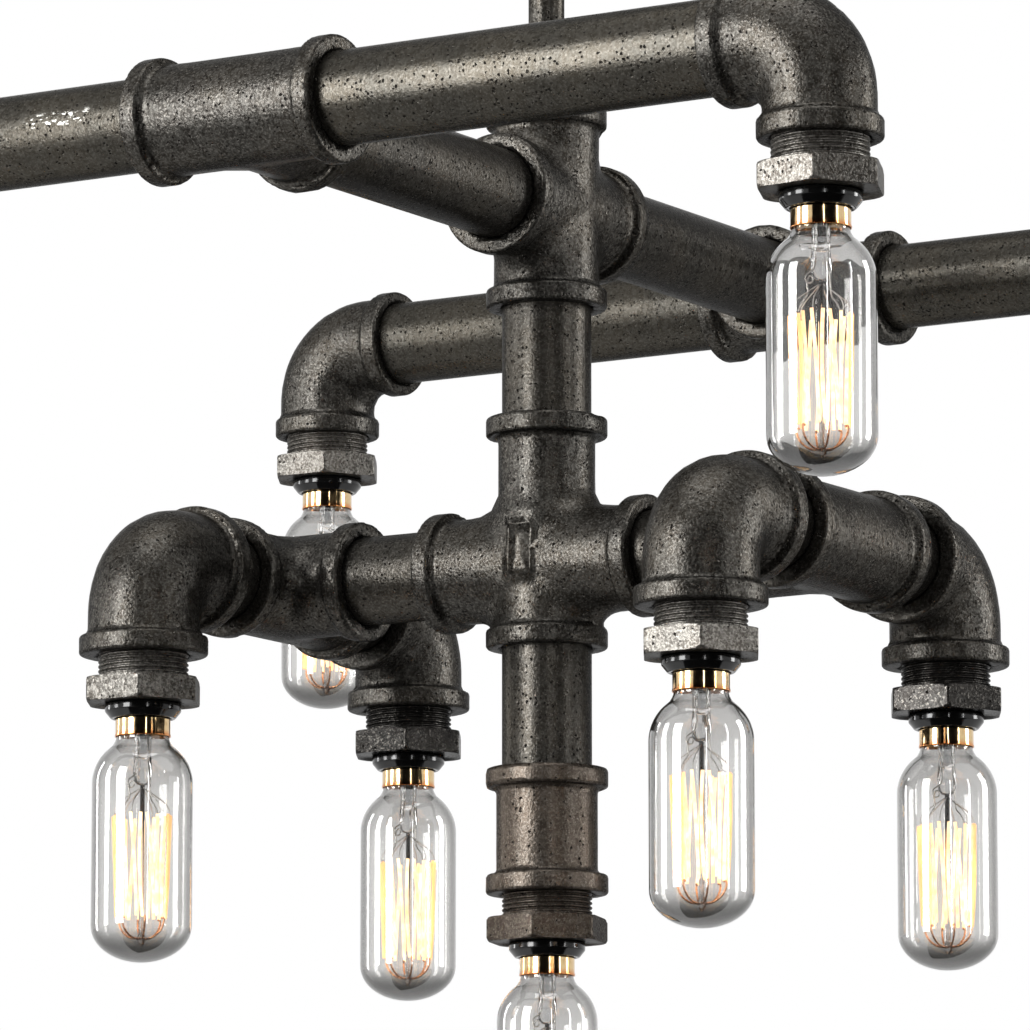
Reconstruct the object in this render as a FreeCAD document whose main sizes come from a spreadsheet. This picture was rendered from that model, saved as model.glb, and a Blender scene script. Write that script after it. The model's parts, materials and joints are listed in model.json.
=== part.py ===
import FreeCAD, Part

import math
import os

import Sketcher

# Pipe chandelier with nine lights, hung from a ceiling bracket.
# The origin is on the ceiling plane, at the middle of the bracket. X runs along the two long
# bars, Y along the crossbar between them, and Z points up, so the fixture lies below zero.

SIZES = (
    ("pipe_radius", 21.1, "outer radius of the main pipe"),
    ("pipe_wall", 3.6, "wall of the main pipe"),
    ("thread_depth", 17.0, "length of pipe screwed into a fitting"),
    ("thread_gap", 0.05, "radial clearance of a screwed joint"),
    ("seat_gap", 0.5, "free space between a pipe's end and the seat in its fitting"),
    ("body_radius", 25.0, "outer radius of a fitting between its beads"),
    ("bead_radius", 28.7, "outer radius of the bead round each port"),
    ("bead_width", 9.2, "length of that bead"),
    ("bead_bevel", 1.3, "bevel on both edges of the bead"),
    ("neck_radius", 22.9, "outer radius of the lower cross's long neck"),
    ("coupling_radius", 23.8, "outer radius of the drop coupling between its beads"),
    ("waterway_radius", 18.0, "radius of the passage through a fitting"),
    ("tee_reach", 50.0, "tee, centre to each port"),
    ("cross_reach", 48.0, "upper cross, centre to each port"),
    ("neck_reach", 69.5, "lower cross, centre to its top port"),
    ("side_reach", 58.5, "lower cross, centre to its side ports"),
    ("foot_reach", 40.0, "lower cross, centre to its bottom port"),
    ("elbow_reach", 46.0, "elbow, corner to each port"),
    ("elbow_bend", 27.0, "elbow, radius of the bend's centre line"),
    ("bar_elbow_radius", 24.4, "outer radius of a bar elbow between its beads"),
    ("bar_elbow_bead", 27.2, "outer radius of a bar elbow's beads"),
    ("arm_elbow_radius", 26.2, "outer radius of an arm elbow between its beads"),
    ("arm_elbow_bead", 30.2, "outer radius of an arm elbow's beads"),
    ("stem_drop", 420.0, "ceiling to the upper cross's centre"),
    ("column_pitch", 170.0, "upper cross's centre to lower cross's centre"),
    ("crossbar_half", 255.0, "upper cross's centre to a bar tee's centre"),
    ("bar_half", 290.0, "bar tee's centre to the corner of its end elbow"),
    ("arm_half", 150.0, "lower cross's centre to an arm tee's centre"),
    ("arm_spread", 115.0, "arm tee's centre to the corner of its elbow"),
    ("drop_show", 56.5, "drop pipe that shows between cross and coupling"),
    ("coupling_length", 59.0, "drop coupling, end to end"),
    ("hex_flats", 51.0, "bushing's hexagon across its flats"),
    ("hex_height", 11.5, "height of that hexagon"),
    ("hex_bevel", 1.6, "bevel on the hexagon's corners"),
    ("thread_show", 11.0, "bushing thread that shows above the hexagon"),
    ("stem_radius", 8.55, "outer radius of the thin stem pipe"),
    ("stem_wall", 2.3, "wall of the stem pipe"),
    ("stem_end_drop", 8.0, "ceiling to the top end of the stem"),
    ("stem_show", 53.0, "stem pipe that shows between bushing and coupling"),
    ("stem_hex_flats", 46.0, "stem bushing's hexagon across its flats"),
    ("stem_hex_height", 12.0, "height of that hexagon"),
    ("stem_coupling_radius", 12.3, "outer radius of the stem coupling"),
    ("stem_coupling_length", 30.0, "stem coupling, end to end"),
    ("stem_stop", 2.0, "width of the stop ring in the stem coupling"),
    ("stem_stop_radius", 7.0, "inner radius of that stop ring"),
    ("strap_thick", 3.0, "thickness of the bracket's strap"),
    ("strap_width", 24.0, "width of the strap"),
    ("strap_length", 118.0, "strap, end to end"),
    ("web_length", 62.0, "lower web of the strap, outside its legs"),
    ("web_drop", 24.0, "ceiling to the web's lower face"),
    ("screw_pitch", 88.9, "distance between the two ceiling screws"),
    ("screw_hole_radius", 2.4, "radius of their holes"),
    ("swivel_gap", 0.06, "radial clearance of the stem in the web"),
    ("nut_flats", 27.0, "stem nut across its flats"),
    ("nut_height", 9.0, "height of the stem nut"),
    ("nut_gap", 0.3, "space under the nut, in which it turns"),
    ("canopy_radius", 70.0, "outer radius of the canopy"),
    ("canopy_height", 45.0, "height of the canopy"),
    ("canopy_wall", 1.6, "sheet thickness of the canopy"),
    ("canopy_bevel", 9.0, "width of the slope round the canopy's lower edge"),
    ("canopy_slope", 6.0, "height of that slope"),
    ("canopy_rim_gap", 0.5, "space between the canopy's rim and the ceiling"),
    ("canopy_hole_gap", 0.6, "radial clearance of the canopy round the stem"),
    ("collar_radius", 15.0, "outer radius of the canopy collar"),
    ("collar_height", 12.0, "height of the collar"),
    ("collar_gap", 0.08, "radial clearance of the collar on the stem"),
    ("set_screw_radius", 2.1, "radius of the collar's set screw"),
    ("cable_radius", 2.2, "radius of the cable in the pipes"),
    ("cable_top_drop", 12.0, "ceiling to the top end of the cable"),
    ("splice_radius", 5.0, "radius of the connector where cables meet"),
    ("split_gap", 0.6, "space between cable and lead where an elbow turns"),
    ("lead_bend", 20.0, "bend radius of a lamp holder's lead"),
    ("holder_radius", 16.5, "outer radius of the lamp holder's body"),
    ("holder_length", 50.0, "lamp holder, end to end"),
    ("holder_gap", 0.2, "radial clearance of the holder in its bushing"),
    ("ring_radius", 17.8, "outer radius of the holder's lower ring"),
    ("ring_foot_radius", 15.0, "radius of that ring's lower face"),
    ("ring_height", 7.0, "height of the ring"),
    ("ring_slope", 3.4, "height of the slope round its lower face"),
    ("cap_radius", 13.1, "outer radius of the bulb's screw cap"),
    ("cap_wall", 0.6, "wall of the cap"),
    ("cap_height", 24.0, "height of the cap's shell"),
    ("cap_show", 8.5, "cap that shows below the ring"),
    ("cap_gap", 0.4, "radial clearance of the cap in its holder"),
    ("contact_radius", 4.8, "radius of the cap's end contact"),
    ("contact_height", 2.6, "height of that contact"),
    ("contact_gap", 0.4, "space above the contact"),
    ("cap_shoulder", 2.2, "slope between the cap's shell and its contact"),
    ("neck_gap", 0.2, "cement space between cap and glass neck"),
    ("neck_depth", 14.0, "glass neck inside the cap"),
    ("bulb_radius", 23.5, "outer radius of the glass tube"),
    ("glass_wall", 1.0, "wall of the glass"),
    ("shoulder_height", 22.0, "height of the rounded shoulder's half axis"),
    ("dome_height", 17.0, "height of the rounded end"),
    ("glass_length", 105.0, "cap's lower edge to the end of the glass"),
)

UPPER_LEVEL = "-sizes.stem_drop"
LOWER_LEVEL = "-sizes.stem_drop - sizes.column_pitch"
DROP_TOP = "%s - sizes.foot_reach - sizes.drop_show" % LOWER_LEVEL
DROP_FACE = "%s - sizes.coupling_length" % DROP_TOP
STEM_COUPLING_BASE = "%s + sizes.cross_reach + sizes.stem_hex_height + sizes.stem_show" % UPPER_LEVEL
PIPE_BORE = "sizes.pipe_radius - sizes.pipe_wall"
SOCKET_RADIUS = "sizes.pipe_radius + sizes.thread_gap"
HOLDER_BORE = "sizes.holder_radius + sizes.holder_gap"

# Each elbow: its name, the place of its corner, and its turn about Z. At zero turn the side port
# points along minus X and the other port points down. The last number is how far the hexagon
# below it was screwed past the point where one of its corners faces along X.
ELBOWS = (
    ("upper_front_right", "sizes.bar_half", "-sizes.crossbar_half", UPPER_LEVEL, 0, -7),
    ("upper_front_left", "-sizes.bar_half", "-sizes.crossbar_half", UPPER_LEVEL, 180, 0),
    ("upper_back_right", "sizes.bar_half", "sizes.crossbar_half", UPPER_LEVEL, 0, 0),
    ("upper_back_left", "-sizes.bar_half", "sizes.crossbar_half", UPPER_LEVEL, 180, 0),
    ("lower_front_right", "sizes.arm_half", "-sizes.arm_spread", LOWER_LEVEL, -90, 0),
    ("lower_front_left", "-sizes.arm_half", "-sizes.arm_spread", LOWER_LEVEL, -90, 0),
    ("lower_back_right", "sizes.arm_half", "sizes.arm_spread", LOWER_LEVEL, 90, 0),
    ("lower_back_left", "-sizes.arm_half", "sizes.arm_spread", LOWER_LEVEL, 90, 0),
)
FOOT_HEX_TURN = -13

X_AXIS = FreeCAD.Vector(1, 0, 0)
Y_AXIS = FreeCAD.Vector(0, 1, 0)
Z_AXIS = FreeCAD.Vector(0, 0, 1)

# A port's direction: the turn that carries the Z axis onto it, the coordinate and its sign.
DIRECTIONS = {
    "up": (FreeCAD.Rotation(), "z", ""),
    "down": (FreeCAD.Rotation(X_AXIS, 180), "z", "-"),
    "right": (FreeCAD.Rotation(Y_AXIS, 90), "x", ""),
    "left": (FreeCAD.Rotation(Y_AXIS, -90), "x", "-"),
    "back": (FreeCAD.Rotation(X_AXIS, -90), "y", ""),
    "front": (FreeCAD.Rotation(X_AXIS, 90), "y", "-"),
}

doc = FreeCAD.newDocument("pipe_chandelier")
sheet = doc.addObject("Spreadsheet::Sheet", "sizes")
subparts = []


def fill_sheet():
    for row, (alias, value, meaning) in enumerate(SIZES, start=1):
        sheet.set("A%d" % row, meaning)
        sheet.set("B%d" % row, str(value))
        sheet.setAlias("B%d" % row, alias)
    doc.recompute()


def bind(obj, **expressions):
    # Each keyword is a property of the object; a double underscore stands for a dot.
    for prop, expression in expressions.items():
        obj.setExpression(prop.replace("__", "."), expression)
    return obj


def place(obj, x="0", y="0", z="0", turn=0):
    obj.Placement = FreeCAD.Placement(FreeCAD.Vector(), FreeCAD.Rotation(Z_AXIS, turn))
    return bind(obj, Placement__Base__x=x, Placement__Base__y=y, Placement__Base__z=z)


def point_along(obj, direction, distance):
    rotation, coordinate, sign = DIRECTIONS[direction]
    obj.Placement = FreeCAD.Placement(FreeCAD.Vector(), rotation)
    obj.setExpression("Placement.Base." + coordinate, "%s(%s)" % (sign, distance))
    return obj


def subpart(obj, label):
    obj.Label = label
    subparts.append(obj)
    return obj


def cylinder(name, radius, height):
    return bind(doc.addObject("Part::Cylinder", name), Radius=radius, Height=height)


def fuse(name, shapes):
    joined = doc.addObject("Part::MultiFuse", name)
    joined.Shapes = shapes
    return joined


def cut(name, base, tool):
    result = doc.addObject("Part::Cut", name)
    result.Base = base
    result.Tool = tool
    return result


def copy_of(master, name):
    # One more of the same piece, which follows its master's sizes.
    copy = doc.addObject("Part::Compound", name)
    copy.Links = [master]
    return copy


def origin_plane(body, role):
    for feature in body.Origin.OriginFeatures:
        if feature.Role == role:
            return feature
    raise RuntimeError("no plane " + role)


def profile_sketch(body, name, corners):
    # A closed outline in the XZ plane, each corner held by its distances from the axes.
    sketch = body.newObject("Sketcher::SketchObject", name)
    sketch.AttachmentSupport = [(origin_plane(body, "XZ_Plane"), "")]
    sketch.MapMode = "FlatFace"
    count = len(corners)
    drafts = [FreeCAD.Vector(10 + 3 * i, 10 + i * i, 0) for i in range(count)]
    for i in range(count):
        sketch.addGeometry(Part.LineSegment(drafts[i], drafts[(i + 1) % count]), False)
    for i in range(count):
        sketch.addConstraint(Sketcher.Constraint("Coincident", i, 2, (i + 1) % count, 1))
    for i, (across, upward) in enumerate(corners):
        for kind, expression, axis in (("DistanceX", across, -2), ("DistanceY", upward, -1)):
            if expression == "0":
                sketch.addConstraint(Sketcher.Constraint("PointOnObject", i, 1, axis))
                continue
            index = sketch.addConstraint(Sketcher.Constraint(kind, -1, 1, i, 1, 10 + i))
            sketch.setExpression("Constraints[%d]" % index, expression)
    return sketch


def lathe(name, corners):
    # A solid turned about Z from an outline of radius and height pairs.
    body = doc.addObject("PartDesign::Body", name)
    sketch = profile_sketch(body, name + "_profile", corners)
    turned = body.newObject("PartDesign::Revolution", name + "_turned")
    turned.Profile = sketch
    turned.ReferenceAxis = (sketch, ["V_Axis"])
    turned.Angle = 360
    return body


def tube(name, outer, inner, length):
    return lathe(name, ((inner, "0"), (outer, "0"), (outer, length), (inner, length)))


def level_tube(name, outer, inner, length, direction, start):
    return point_along(tube(name, outer, inner, length), direction, start)


def hexagon(name, flats, height):
    prism = doc.addObject("Part::Prism", name)
    prism.Polygon = 6
    return bind(prism, Circumradius="(%s) / 2 / cos(30)" % flats, Height=height)


def bead(name, direction, reach, radius):
    disc = cylinder(name + "_disc", radius, "sizes.bead_width")
    point_along(disc, direction, "%s - sizes.bead_width" % reach)
    bevelled = doc.addObject("Part::Chamfer", name)
    bevelled.Base = disc
    bevel = sheet.get("bead_bevel")
    upper_edge = 1
    lower_edge = 3
    bevelled.Edges = [(upper_edge, bevel, bevel), (lower_edge, bevel, bevel)]
    return bevelled


def bend_path(name, bend_radius, side_end, down_end):
    # Out along one axis, round a quarter bend and out along the other. The sketch is turned so
    # that its first axis points along minus X and its second along minus Z. It is drafted near
    # its shape, and the constraints then give it its sizes.
    path = doc.addObject("Sketcher::SketchObject", name)
    turn = FreeCAD.Rotation(Y_AXIS, 180).multiply(FreeCAD.Rotation(X_AXIS, 90))
    path.Placement = FreeCAD.Placement(FreeCAD.Vector(), turn)
    draft_end = sheet.get("elbow_reach")
    draft_bend = sheet.get("elbow_bend")
    side_point = FreeCAD.Vector(draft_end, 0, 0)
    bend_start = FreeCAD.Vector(draft_bend, 0, 0)
    bend_end = FreeCAD.Vector(0, draft_bend, 0)
    down_point = FreeCAD.Vector(0, draft_end, 0)
    circle = Part.Circle(FreeCAD.Vector(draft_bend, draft_bend, 0), Z_AXIS, draft_bend)
    path.addGeometry(Part.LineSegment(side_point, bend_start), False)
    path.addGeometry(Part.ArcOfCircle(circle, math.pi, 1.5 * math.pi), False)
    path.addGeometry(Part.LineSegment(bend_end, down_point), False)
    path.addConstraint(Sketcher.Constraint("PointOnObject", 0, 1, -1))
    path.addConstraint(Sketcher.Constraint("PointOnObject", 0, 2, -1))
    path.addConstraint(Sketcher.Constraint("Tangent", 0, 2, 1, 2))
    path.addConstraint(Sketcher.Constraint("Tangent", 1, 1, 2, 1))
    path.addConstraint(Sketcher.Constraint("PointOnObject", 2, 1, -2))
    path.addConstraint(Sketcher.Constraint("PointOnObject", 2, 2, -2))
    for constraint, expression in (
        (Sketcher.Constraint("Radius", 1, draft_bend), bend_radius),
        (Sketcher.Constraint("DistanceX", -1, 1, 0, 1, draft_end), side_end),
        (Sketcher.Constraint("DistanceY", -1, 1, 2, 2, draft_end), down_end),
    ):
        index = path.addConstraint(constraint)
        path.setExpression("Constraints[%d]" % index, expression)
    return path


def bent_rod(name, radius, bend_radius, side_end, down_end):
    # A round rod that follows the bent path, from minus X to minus Z.
    section = doc.addObject("Part::Circle", name + "_section")
    section.Placement = FreeCAD.Placement(FreeCAD.Vector(), FreeCAD.Rotation(Y_AXIS, 90))
    bind(section, Radius=radius, Placement__Base__x="-(%s)" % side_end)
    rod = doc.addObject("Part::Sweep", name)
    rod.Sections = [section]
    path = bend_path(name + "_path", bend_radius, side_end, down_end)
    rod.Spine = (path, ["Edge1", "Edge2", "Edge3"])
    rod.Solid = True
    return rod


def port(name, direction, reach, bead_radius):
    # The bead round a port, and the recess into which the pipe is screwed.
    depth = "sizes.thread_depth + sizes.seat_gap"
    recess = cylinder(name + "_recess", SOCKET_RADIUS, depth)
    point_along(recess, direction, "%s - (%s)" % (reach, depth))
    return bead(name + "_bead", direction, reach, bead_radius), recess


def straight_fitting(name, ports):
    # A cast fitting whose straight arms, each with its reach and radius, meet at zero.
    solids = []
    hollows = []
    for direction, reach, radius in ports:
        tag = "%s_%s" % (name, direction)
        ring, recess = port(tag, direction, reach, "sizes.bead_radius")
        arm = cylinder(tag + "_arm", radius, reach)
        passage = cylinder(tag + "_passage", "sizes.waterway_radius", reach)
        solids += [point_along(arm, direction, "0"), ring]
        hollows += [point_along(passage, direction, "0"), recess]
    return cut(name, fuse(name + "_solid", solids), fuse(name + "_hollow", hollows))


def upper_cross():
    ways = ("up", "down", "front", "back")
    ports = [(way, "sizes.cross_reach", "sizes.body_radius") for way in ways]
    subpart(place(straight_fitting("upper_cross", ports), z=UPPER_LEVEL), "upper_cross")


def lower_cross():
    ports = (
        ("up", "sizes.neck_reach", "sizes.neck_radius"),
        ("down", "sizes.foot_reach", "sizes.body_radius"),
        ("left", "sizes.side_reach", "sizes.body_radius"),
        ("right", "sizes.side_reach", "sizes.body_radius"),
    )
    subpart(place(straight_fitting("lower_cross", ports), z=LOWER_LEVEL), "lower_cross")


def pipe_tees():
    # The run lies along X and the branch points back.
    ports = [(way, "sizes.tee_reach", "sizes.body_radius") for way in ("left", "right", "back")]
    master = straight_fitting("tee", ports)
    places = (
        ("tee_front", "0", "-sizes.crossbar_half", UPPER_LEVEL, 0),
        ("tee_back", "0", "sizes.crossbar_half", UPPER_LEVEL, 180),
        ("tee_left", "-sizes.arm_half", "0", LOWER_LEVEL, -90),
        ("tee_right", "sizes.arm_half", "0", LOWER_LEVEL, 90),
    )
    tees = [place(copy_of(master, name), x, y, z, turn) for name, x, y, z, turn in places]
    subpart(fuse("tees", tees), "pipe_tees")


def crossbar_pipes():
    start = "sizes.cross_reach - sizes.thread_depth"
    length = "sizes.crossbar_half - sizes.cross_reach - sizes.tee_reach + 2 * sizes.thread_depth"
    pipes = []
    for direction in ("front", "back"):
        name = "crossbar_" + direction
        pipes.append(level_tube(name, "sizes.pipe_radius", PIPE_BORE, length, direction, start))
    subpart(place(fuse("crossbar", pipes), z=UPPER_LEVEL), "crossbar_pipes")


def bar_pipes():
    start = "sizes.tee_reach - sizes.thread_depth"
    length = "sizes.bar_half - sizes.tee_reach - sizes.elbow_reach + 2 * sizes.thread_depth"
    pipes = []
    for side, sign in (("front", "-"), ("back", "")):
        for direction in ("left", "right"):
            name = "bar_%s_%s" % (side, direction)
            pipe = level_tube(name, "sizes.pipe_radius", PIPE_BORE, length, direction, start)
            pipe.setExpression("Placement.Base.y", sign + "sizes.crossbar_half")
            pipes.append(pipe)
    subpart(place(fuse("bars", pipes), z=UPPER_LEVEL), "bar_pipes")


def arm_nipples():
    # A nipple each side from the cross to its tee, and close nipples from the tees to the elbows.
    start = "sizes.side_reach - sizes.thread_depth"
    length = "sizes.arm_half - sizes.side_reach - sizes.tee_reach + 2 * sizes.thread_depth"
    close_start = "sizes.tee_reach - sizes.thread_depth"
    close_length = "sizes.arm_spread - sizes.tee_reach - sizes.elbow_reach + 2 * sizes.thread_depth"
    pipes = []
    for side, sign in (("left", "-"), ("right", "")):
        name = "nipple_" + side
        pipes.append(level_tube(name, "sizes.pipe_radius", PIPE_BORE, length, side, start))
        for end in ("front", "back"):
            name = "close_nipple_%s_%s" % (side, end)
            pipe = level_tube(name, "sizes.pipe_radius", PIPE_BORE, close_length, end, close_start)
            pipe.setExpression("Placement.Base.x", sign + "sizes.arm_half")
            pipes.append(pipe)
    subpart(place(fuse("nipples", pipes), z=LOWER_LEVEL), "arm_nipples")


def column_pipes():
    upper_length = (
        "sizes.column_pitch - sizes.cross_reach - sizes.neck_reach + 2 * sizes.thread_depth"
    )
    upper = tube("column_pipe", "sizes.pipe_radius", PIPE_BORE, upper_length)
    place(upper, z="%s + sizes.neck_reach - sizes.thread_depth" % LOWER_LEVEL)
    lower_length = "sizes.drop_show + 2 * sizes.thread_depth"
    lower = tube("drop_pipe", "sizes.pipe_radius", PIPE_BORE, lower_length)
    place(lower, z="%s - sizes.thread_depth" % DROP_TOP)
    subpart(fuse("columns", [upper, lower]), "column_pipes")


def drop_coupling():
    half = "sizes.coupling_length / 2"
    ports = [(way, half, "sizes.coupling_radius") for way in ("up", "down")]
    coupling = straight_fitting("coupling", ports)
    subpart(place(coupling, z="%s - %s" % (DROP_TOP, half)), "drop_coupling")


def stem_pipes():
    bore = "sizes.stem_radius - sizes.stem_wall"
    middle = "(%s + sizes.stem_coupling_length / 2)" % STEM_COUPLING_BASE
    half_stop = "sizes.stem_stop / 2"
    upper_base = "%s + %s" % (middle, half_stop)
    upper = tube("stem_upper", "sizes.stem_radius", bore, "-sizes.stem_end_drop - (%s)" % upper_base)
    place(upper, z=upper_base)
    lower_base = "%s + sizes.cross_reach - sizes.thread_depth" % UPPER_LEVEL
    lower_top = "%s - %s" % (middle, half_stop)
    lower = tube("stem_lower", "sizes.stem_radius", bore, "%s - (%s)" % (lower_top, lower_base))
    place(lower, z=lower_base)
    subpart(fuse("stems", [upper, lower]), "stem_pipes")


def stem_coupling():
    bore = "sizes.stem_radius + sizes.thread_gap"
    length = "sizes.stem_coupling_length"
    low = "(%s - sizes.stem_stop) / 2" % length
    high = "(%s + sizes.stem_stop) / 2" % length
    corners = (
        (bore, "0"),
        ("sizes.stem_coupling_radius", "0"),
        ("sizes.stem_coupling_radius", length),
        (bore, length),
        (bore, high),
        ("sizes.stem_stop_radius", high),
        ("sizes.stem_stop_radius", low),
        (bore, low),
    )
    subpart(place(lathe("stem_coupling", corners), z=STEM_COUPLING_BASE), "stem_coupling")


def hex_bushing(name, flats, hex_height, plug_length, bore):
    # Turned blank, cut to a hexagon by its common volume with a prism and a plug. The hexagon's
    # lower face is at zero and the plug points up.
    corner = "(%s) / 2 / cos(30)" % flats
    top = "%s + %s" % (hex_height, plug_length)
    corners = (
        (bore, "0"),
        ("%s - sizes.hex_bevel" % corner, "0"),
        (corner, "sizes.hex_bevel"),
        (corner, "%s - sizes.hex_bevel" % hex_height),
        ("%s - sizes.hex_bevel" % corner, hex_height),
        ("sizes.pipe_radius", hex_height),
        ("sizes.pipe_radius", top),
        (bore, top),
    )
    blank = lathe(name + "_blank", corners)
    prism = hexagon(name + "_prism", flats, hex_height)
    plug = cylinder(name + "_plug", "sizes.pipe_radius", top)
    bushing = doc.addObject("Part::Common", name)
    bushing.Base = blank
    bushing.Tool = fuse(name + "_outside", [prism, plug])
    return bushing


def stem_bushing():
    bore = "sizes.stem_radius + sizes.thread_gap"
    height = "sizes.stem_hex_height"
    bushing = hex_bushing("stem_reducer", "sizes.stem_hex_flats", height, "sizes.thread_depth", bore)
    # Turned over, so its plug points down into the cross.
    level = "%s + sizes.cross_reach + %s" % (UPPER_LEVEL, height)
    subpart(point_along(bushing, "down", "-(%s)" % level), "stem_bushing")


def ceiling_bracket():
    # A hat-shaped strap: feet against the ceiling, a lower web that carries the stem nut.
    thick = "sizes.strap_thick"
    body = doc.addObject("PartDesign::Body", "bracket")
    middle = "sizes.strap_length / 2"
    leg = "sizes.web_length / 2"
    inner_leg = "%s - %s" % (leg, thick)
    foot_face = "sizes.web_drop - %s" % thick
    corners = (
        ("0", "0"),
        (leg, "0"),
        (leg, foot_face),
        (middle, foot_face),
        (middle, "sizes.web_drop"),
        (inner_leg, "sizes.web_drop"),
        (inner_leg, thick),
        ("0", thick),
    )
    sketch = profile_sketch(body, "bracket_profile", corners)
    half = body.newObject("PartDesign::Pad", "bracket_half")
    half.Profile = sketch
    half.Midplane = True
    half.setExpression("Length", "sizes.strap_width")
    mirrored = body.newObject("PartDesign::Mirrored", "bracket_strap")
    mirrored.Originals = [half]
    mirrored.MirrorPlane = (origin_plane(body, "YZ_Plane"), [""])
    body.Tip = mirrored
    stem_hole = cylinder("stem_hole", "sizes.stem_radius + sizes.swivel_gap", "sizes.web_drop")
    holes = [stem_hole]
    for name, sign in (("screw_hole_left", "-"), ("screw_hole_right", "")):
        hole = cylinder(name, "sizes.screw_hole_radius", "sizes.web_drop")
        holes.append(place(hole, x=sign + "sizes.screw_pitch / 2"))
    bracket = cut("bracket_drilled", body, fuse("bracket_holes", holes))
    subpart(place(bracket, z="-sizes.web_drop"), "ceiling_bracket")


def stem_nut():
    prism = hexagon("nut_prism", "sizes.nut_flats", "sizes.nut_height")
    bore = cylinder("nut_bore", "sizes.stem_radius + sizes.thread_gap", "sizes.nut_height")
    level = "-sizes.web_drop + sizes.strap_thick + sizes.nut_gap"
    subpart(place(cut("nut", prism, bore), z=level), "stem_nut")


def canopy():
    radius = "sizes.canopy_radius"
    wall = "sizes.canopy_wall"
    height = "sizes.canopy_height"
    hole = "sizes.stem_radius + sizes.canopy_hole_gap"
    flat = "%s - sizes.canopy_bevel" % radius
    corners = (
        (hole, "0"),
        (flat, "0"),
        (radius, "sizes.canopy_slope"),
        (radius, height),
        ("%s - %s" % (radius, wall), height),
        ("%s - %s" % (radius, wall), "sizes.canopy_slope + %s" % wall),
        ("%s - %s" % (flat, wall), wall),
        (hole, wall),
    )
    level = "-sizes.canopy_rim_gap - %s" % height
    subpart(place(lathe("canopy_shell", corners), z=level), "canopy")


def canopy_collar():
    bore = "sizes.stem_radius + sizes.collar_gap"
    ring = tube("collar_ring", "sizes.collar_radius", bore, "sizes.collar_height")
    tapped = cylinder("collar_tapping", "sizes.set_screw_radius", "sizes.collar_radius")
    point_along(tapped, "front", "0")
    tapped.setExpression("Placement.Base.z", "sizes.collar_height / 2")
    screw_length = "sizes.collar_radius - (%s)" % bore
    screw = cylinder("set_screw", "sizes.set_screw_radius - sizes.thread_gap", screw_length)
    point_along(screw, "front", bore)
    screw.setExpression("Placement.Base.z", "sizes.collar_height / 2")
    collar = fuse("collar", [cut("collar_tapped", ring, tapped), screw])
    level = "-sizes.canopy_rim_gap - sizes.canopy_height - sizes.collar_height"
    subpart(place(collar, z=level), "canopy_collar")


def cable(name, direction, end, x="0", y="0", z="0"):
    # A run that starts in the connector at the given point and ends at the given distance.
    start = "sizes.splice_radius / 2"
    rotation, coordinate, sign = DIRECTIONS[direction]
    run = cylinder(name, "sizes.cable_radius", "%s - %s" % (end, start))
    run.Placement = FreeCAD.Placement(FreeCAD.Vector(), rotation)
    origin = {"x": x, "y": y, "z": z}
    origin[coordinate] = "%s %s %s" % (origin[coordinate], sign or "+", start)
    for axis, expression in origin.items():
        run.setExpression("Placement.Base." + axis, expression)
    return run


def splice(name, x="0", y="0", z="0"):
    # A round connector where the cables meet.
    ball = bind(doc.addObject("Part::Sphere", name), Radius="sizes.splice_radius")
    return place(ball, x, y, z)


def wiring():
    # Cables through every pipe, as far as the elbows' turning faces.
    foot = "(%s - sizes.hex_height - sizes.thread_show - sizes.ring_height + sizes.holder_length)"
    drop = "%s - %s" % (LOWER_LEVEL, foot % DROP_FACE)
    between = "%s - sizes.splice_radius / 2"
    bar_run = "sizes.bar_half - sizes.elbow_reach + sizes.thread_depth"
    arm_run = "sizes.arm_spread - sizes.elbow_reach + sizes.thread_depth"
    runs = [
        splice("splice_upper", z=UPPER_LEVEL),
        splice("splice_lower", z=LOWER_LEVEL),
        cable("cable_stem", "up", "sizes.stem_drop - sizes.cable_top_drop", z=UPPER_LEVEL),
        cable("cable_column", "down", between % "sizes.column_pitch", z=UPPER_LEVEL),
        cable("cable_drop", "down", drop, z=LOWER_LEVEL),
    ]
    for end, sign in (("front", "-"), ("back", "")):
        y = sign + "sizes.crossbar_half"
        runs.append(splice("splice_" + end, y=y, z=UPPER_LEVEL))
        runs.append(cable("cable_" + end, end, between % "sizes.crossbar_half", z=UPPER_LEVEL))
        for side in ("left", "right"):
            runs.append(cable("cable_bar_%s_%s" % (end, side), side, bar_run, y=y, z=UPPER_LEVEL))
    for side, sign in (("left", "-"), ("right", "")):
        x = sign + "sizes.arm_half"
        runs.append(splice("splice_" + side, x=x, z=LOWER_LEVEL))
        runs.append(cable("cable_" + side, side, between % "sizes.arm_half", z=LOWER_LEVEL))
        for end in ("front", "back"):
            runs.append(cable("cable_arm_%s_%s" % (side, end), end, arm_run, x=x, z=LOWER_LEVEL))
    subpart(fuse("cables", runs), "wiring")


def elbow_master(name, radius, bead_radius):
    reach = "sizes.elbow_reach"
    bend = "sizes.elbow_bend"
    solids = [bent_rod(name + "_outside", radius, bend, reach, reach)]
    hollows = [bent_rod(name + "_inside", "sizes.waterway_radius", bend, reach, reach)]
    for direction in ("left", "down"):
        ring, recess = port("%s_%s" % (name, direction), direction, reach, bead_radius)
        solids.append(ring)
        hollows.append(recess)
    return cut(name, fuse(name + "_solid", solids), fuse(name + "_hollow", hollows))


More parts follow.
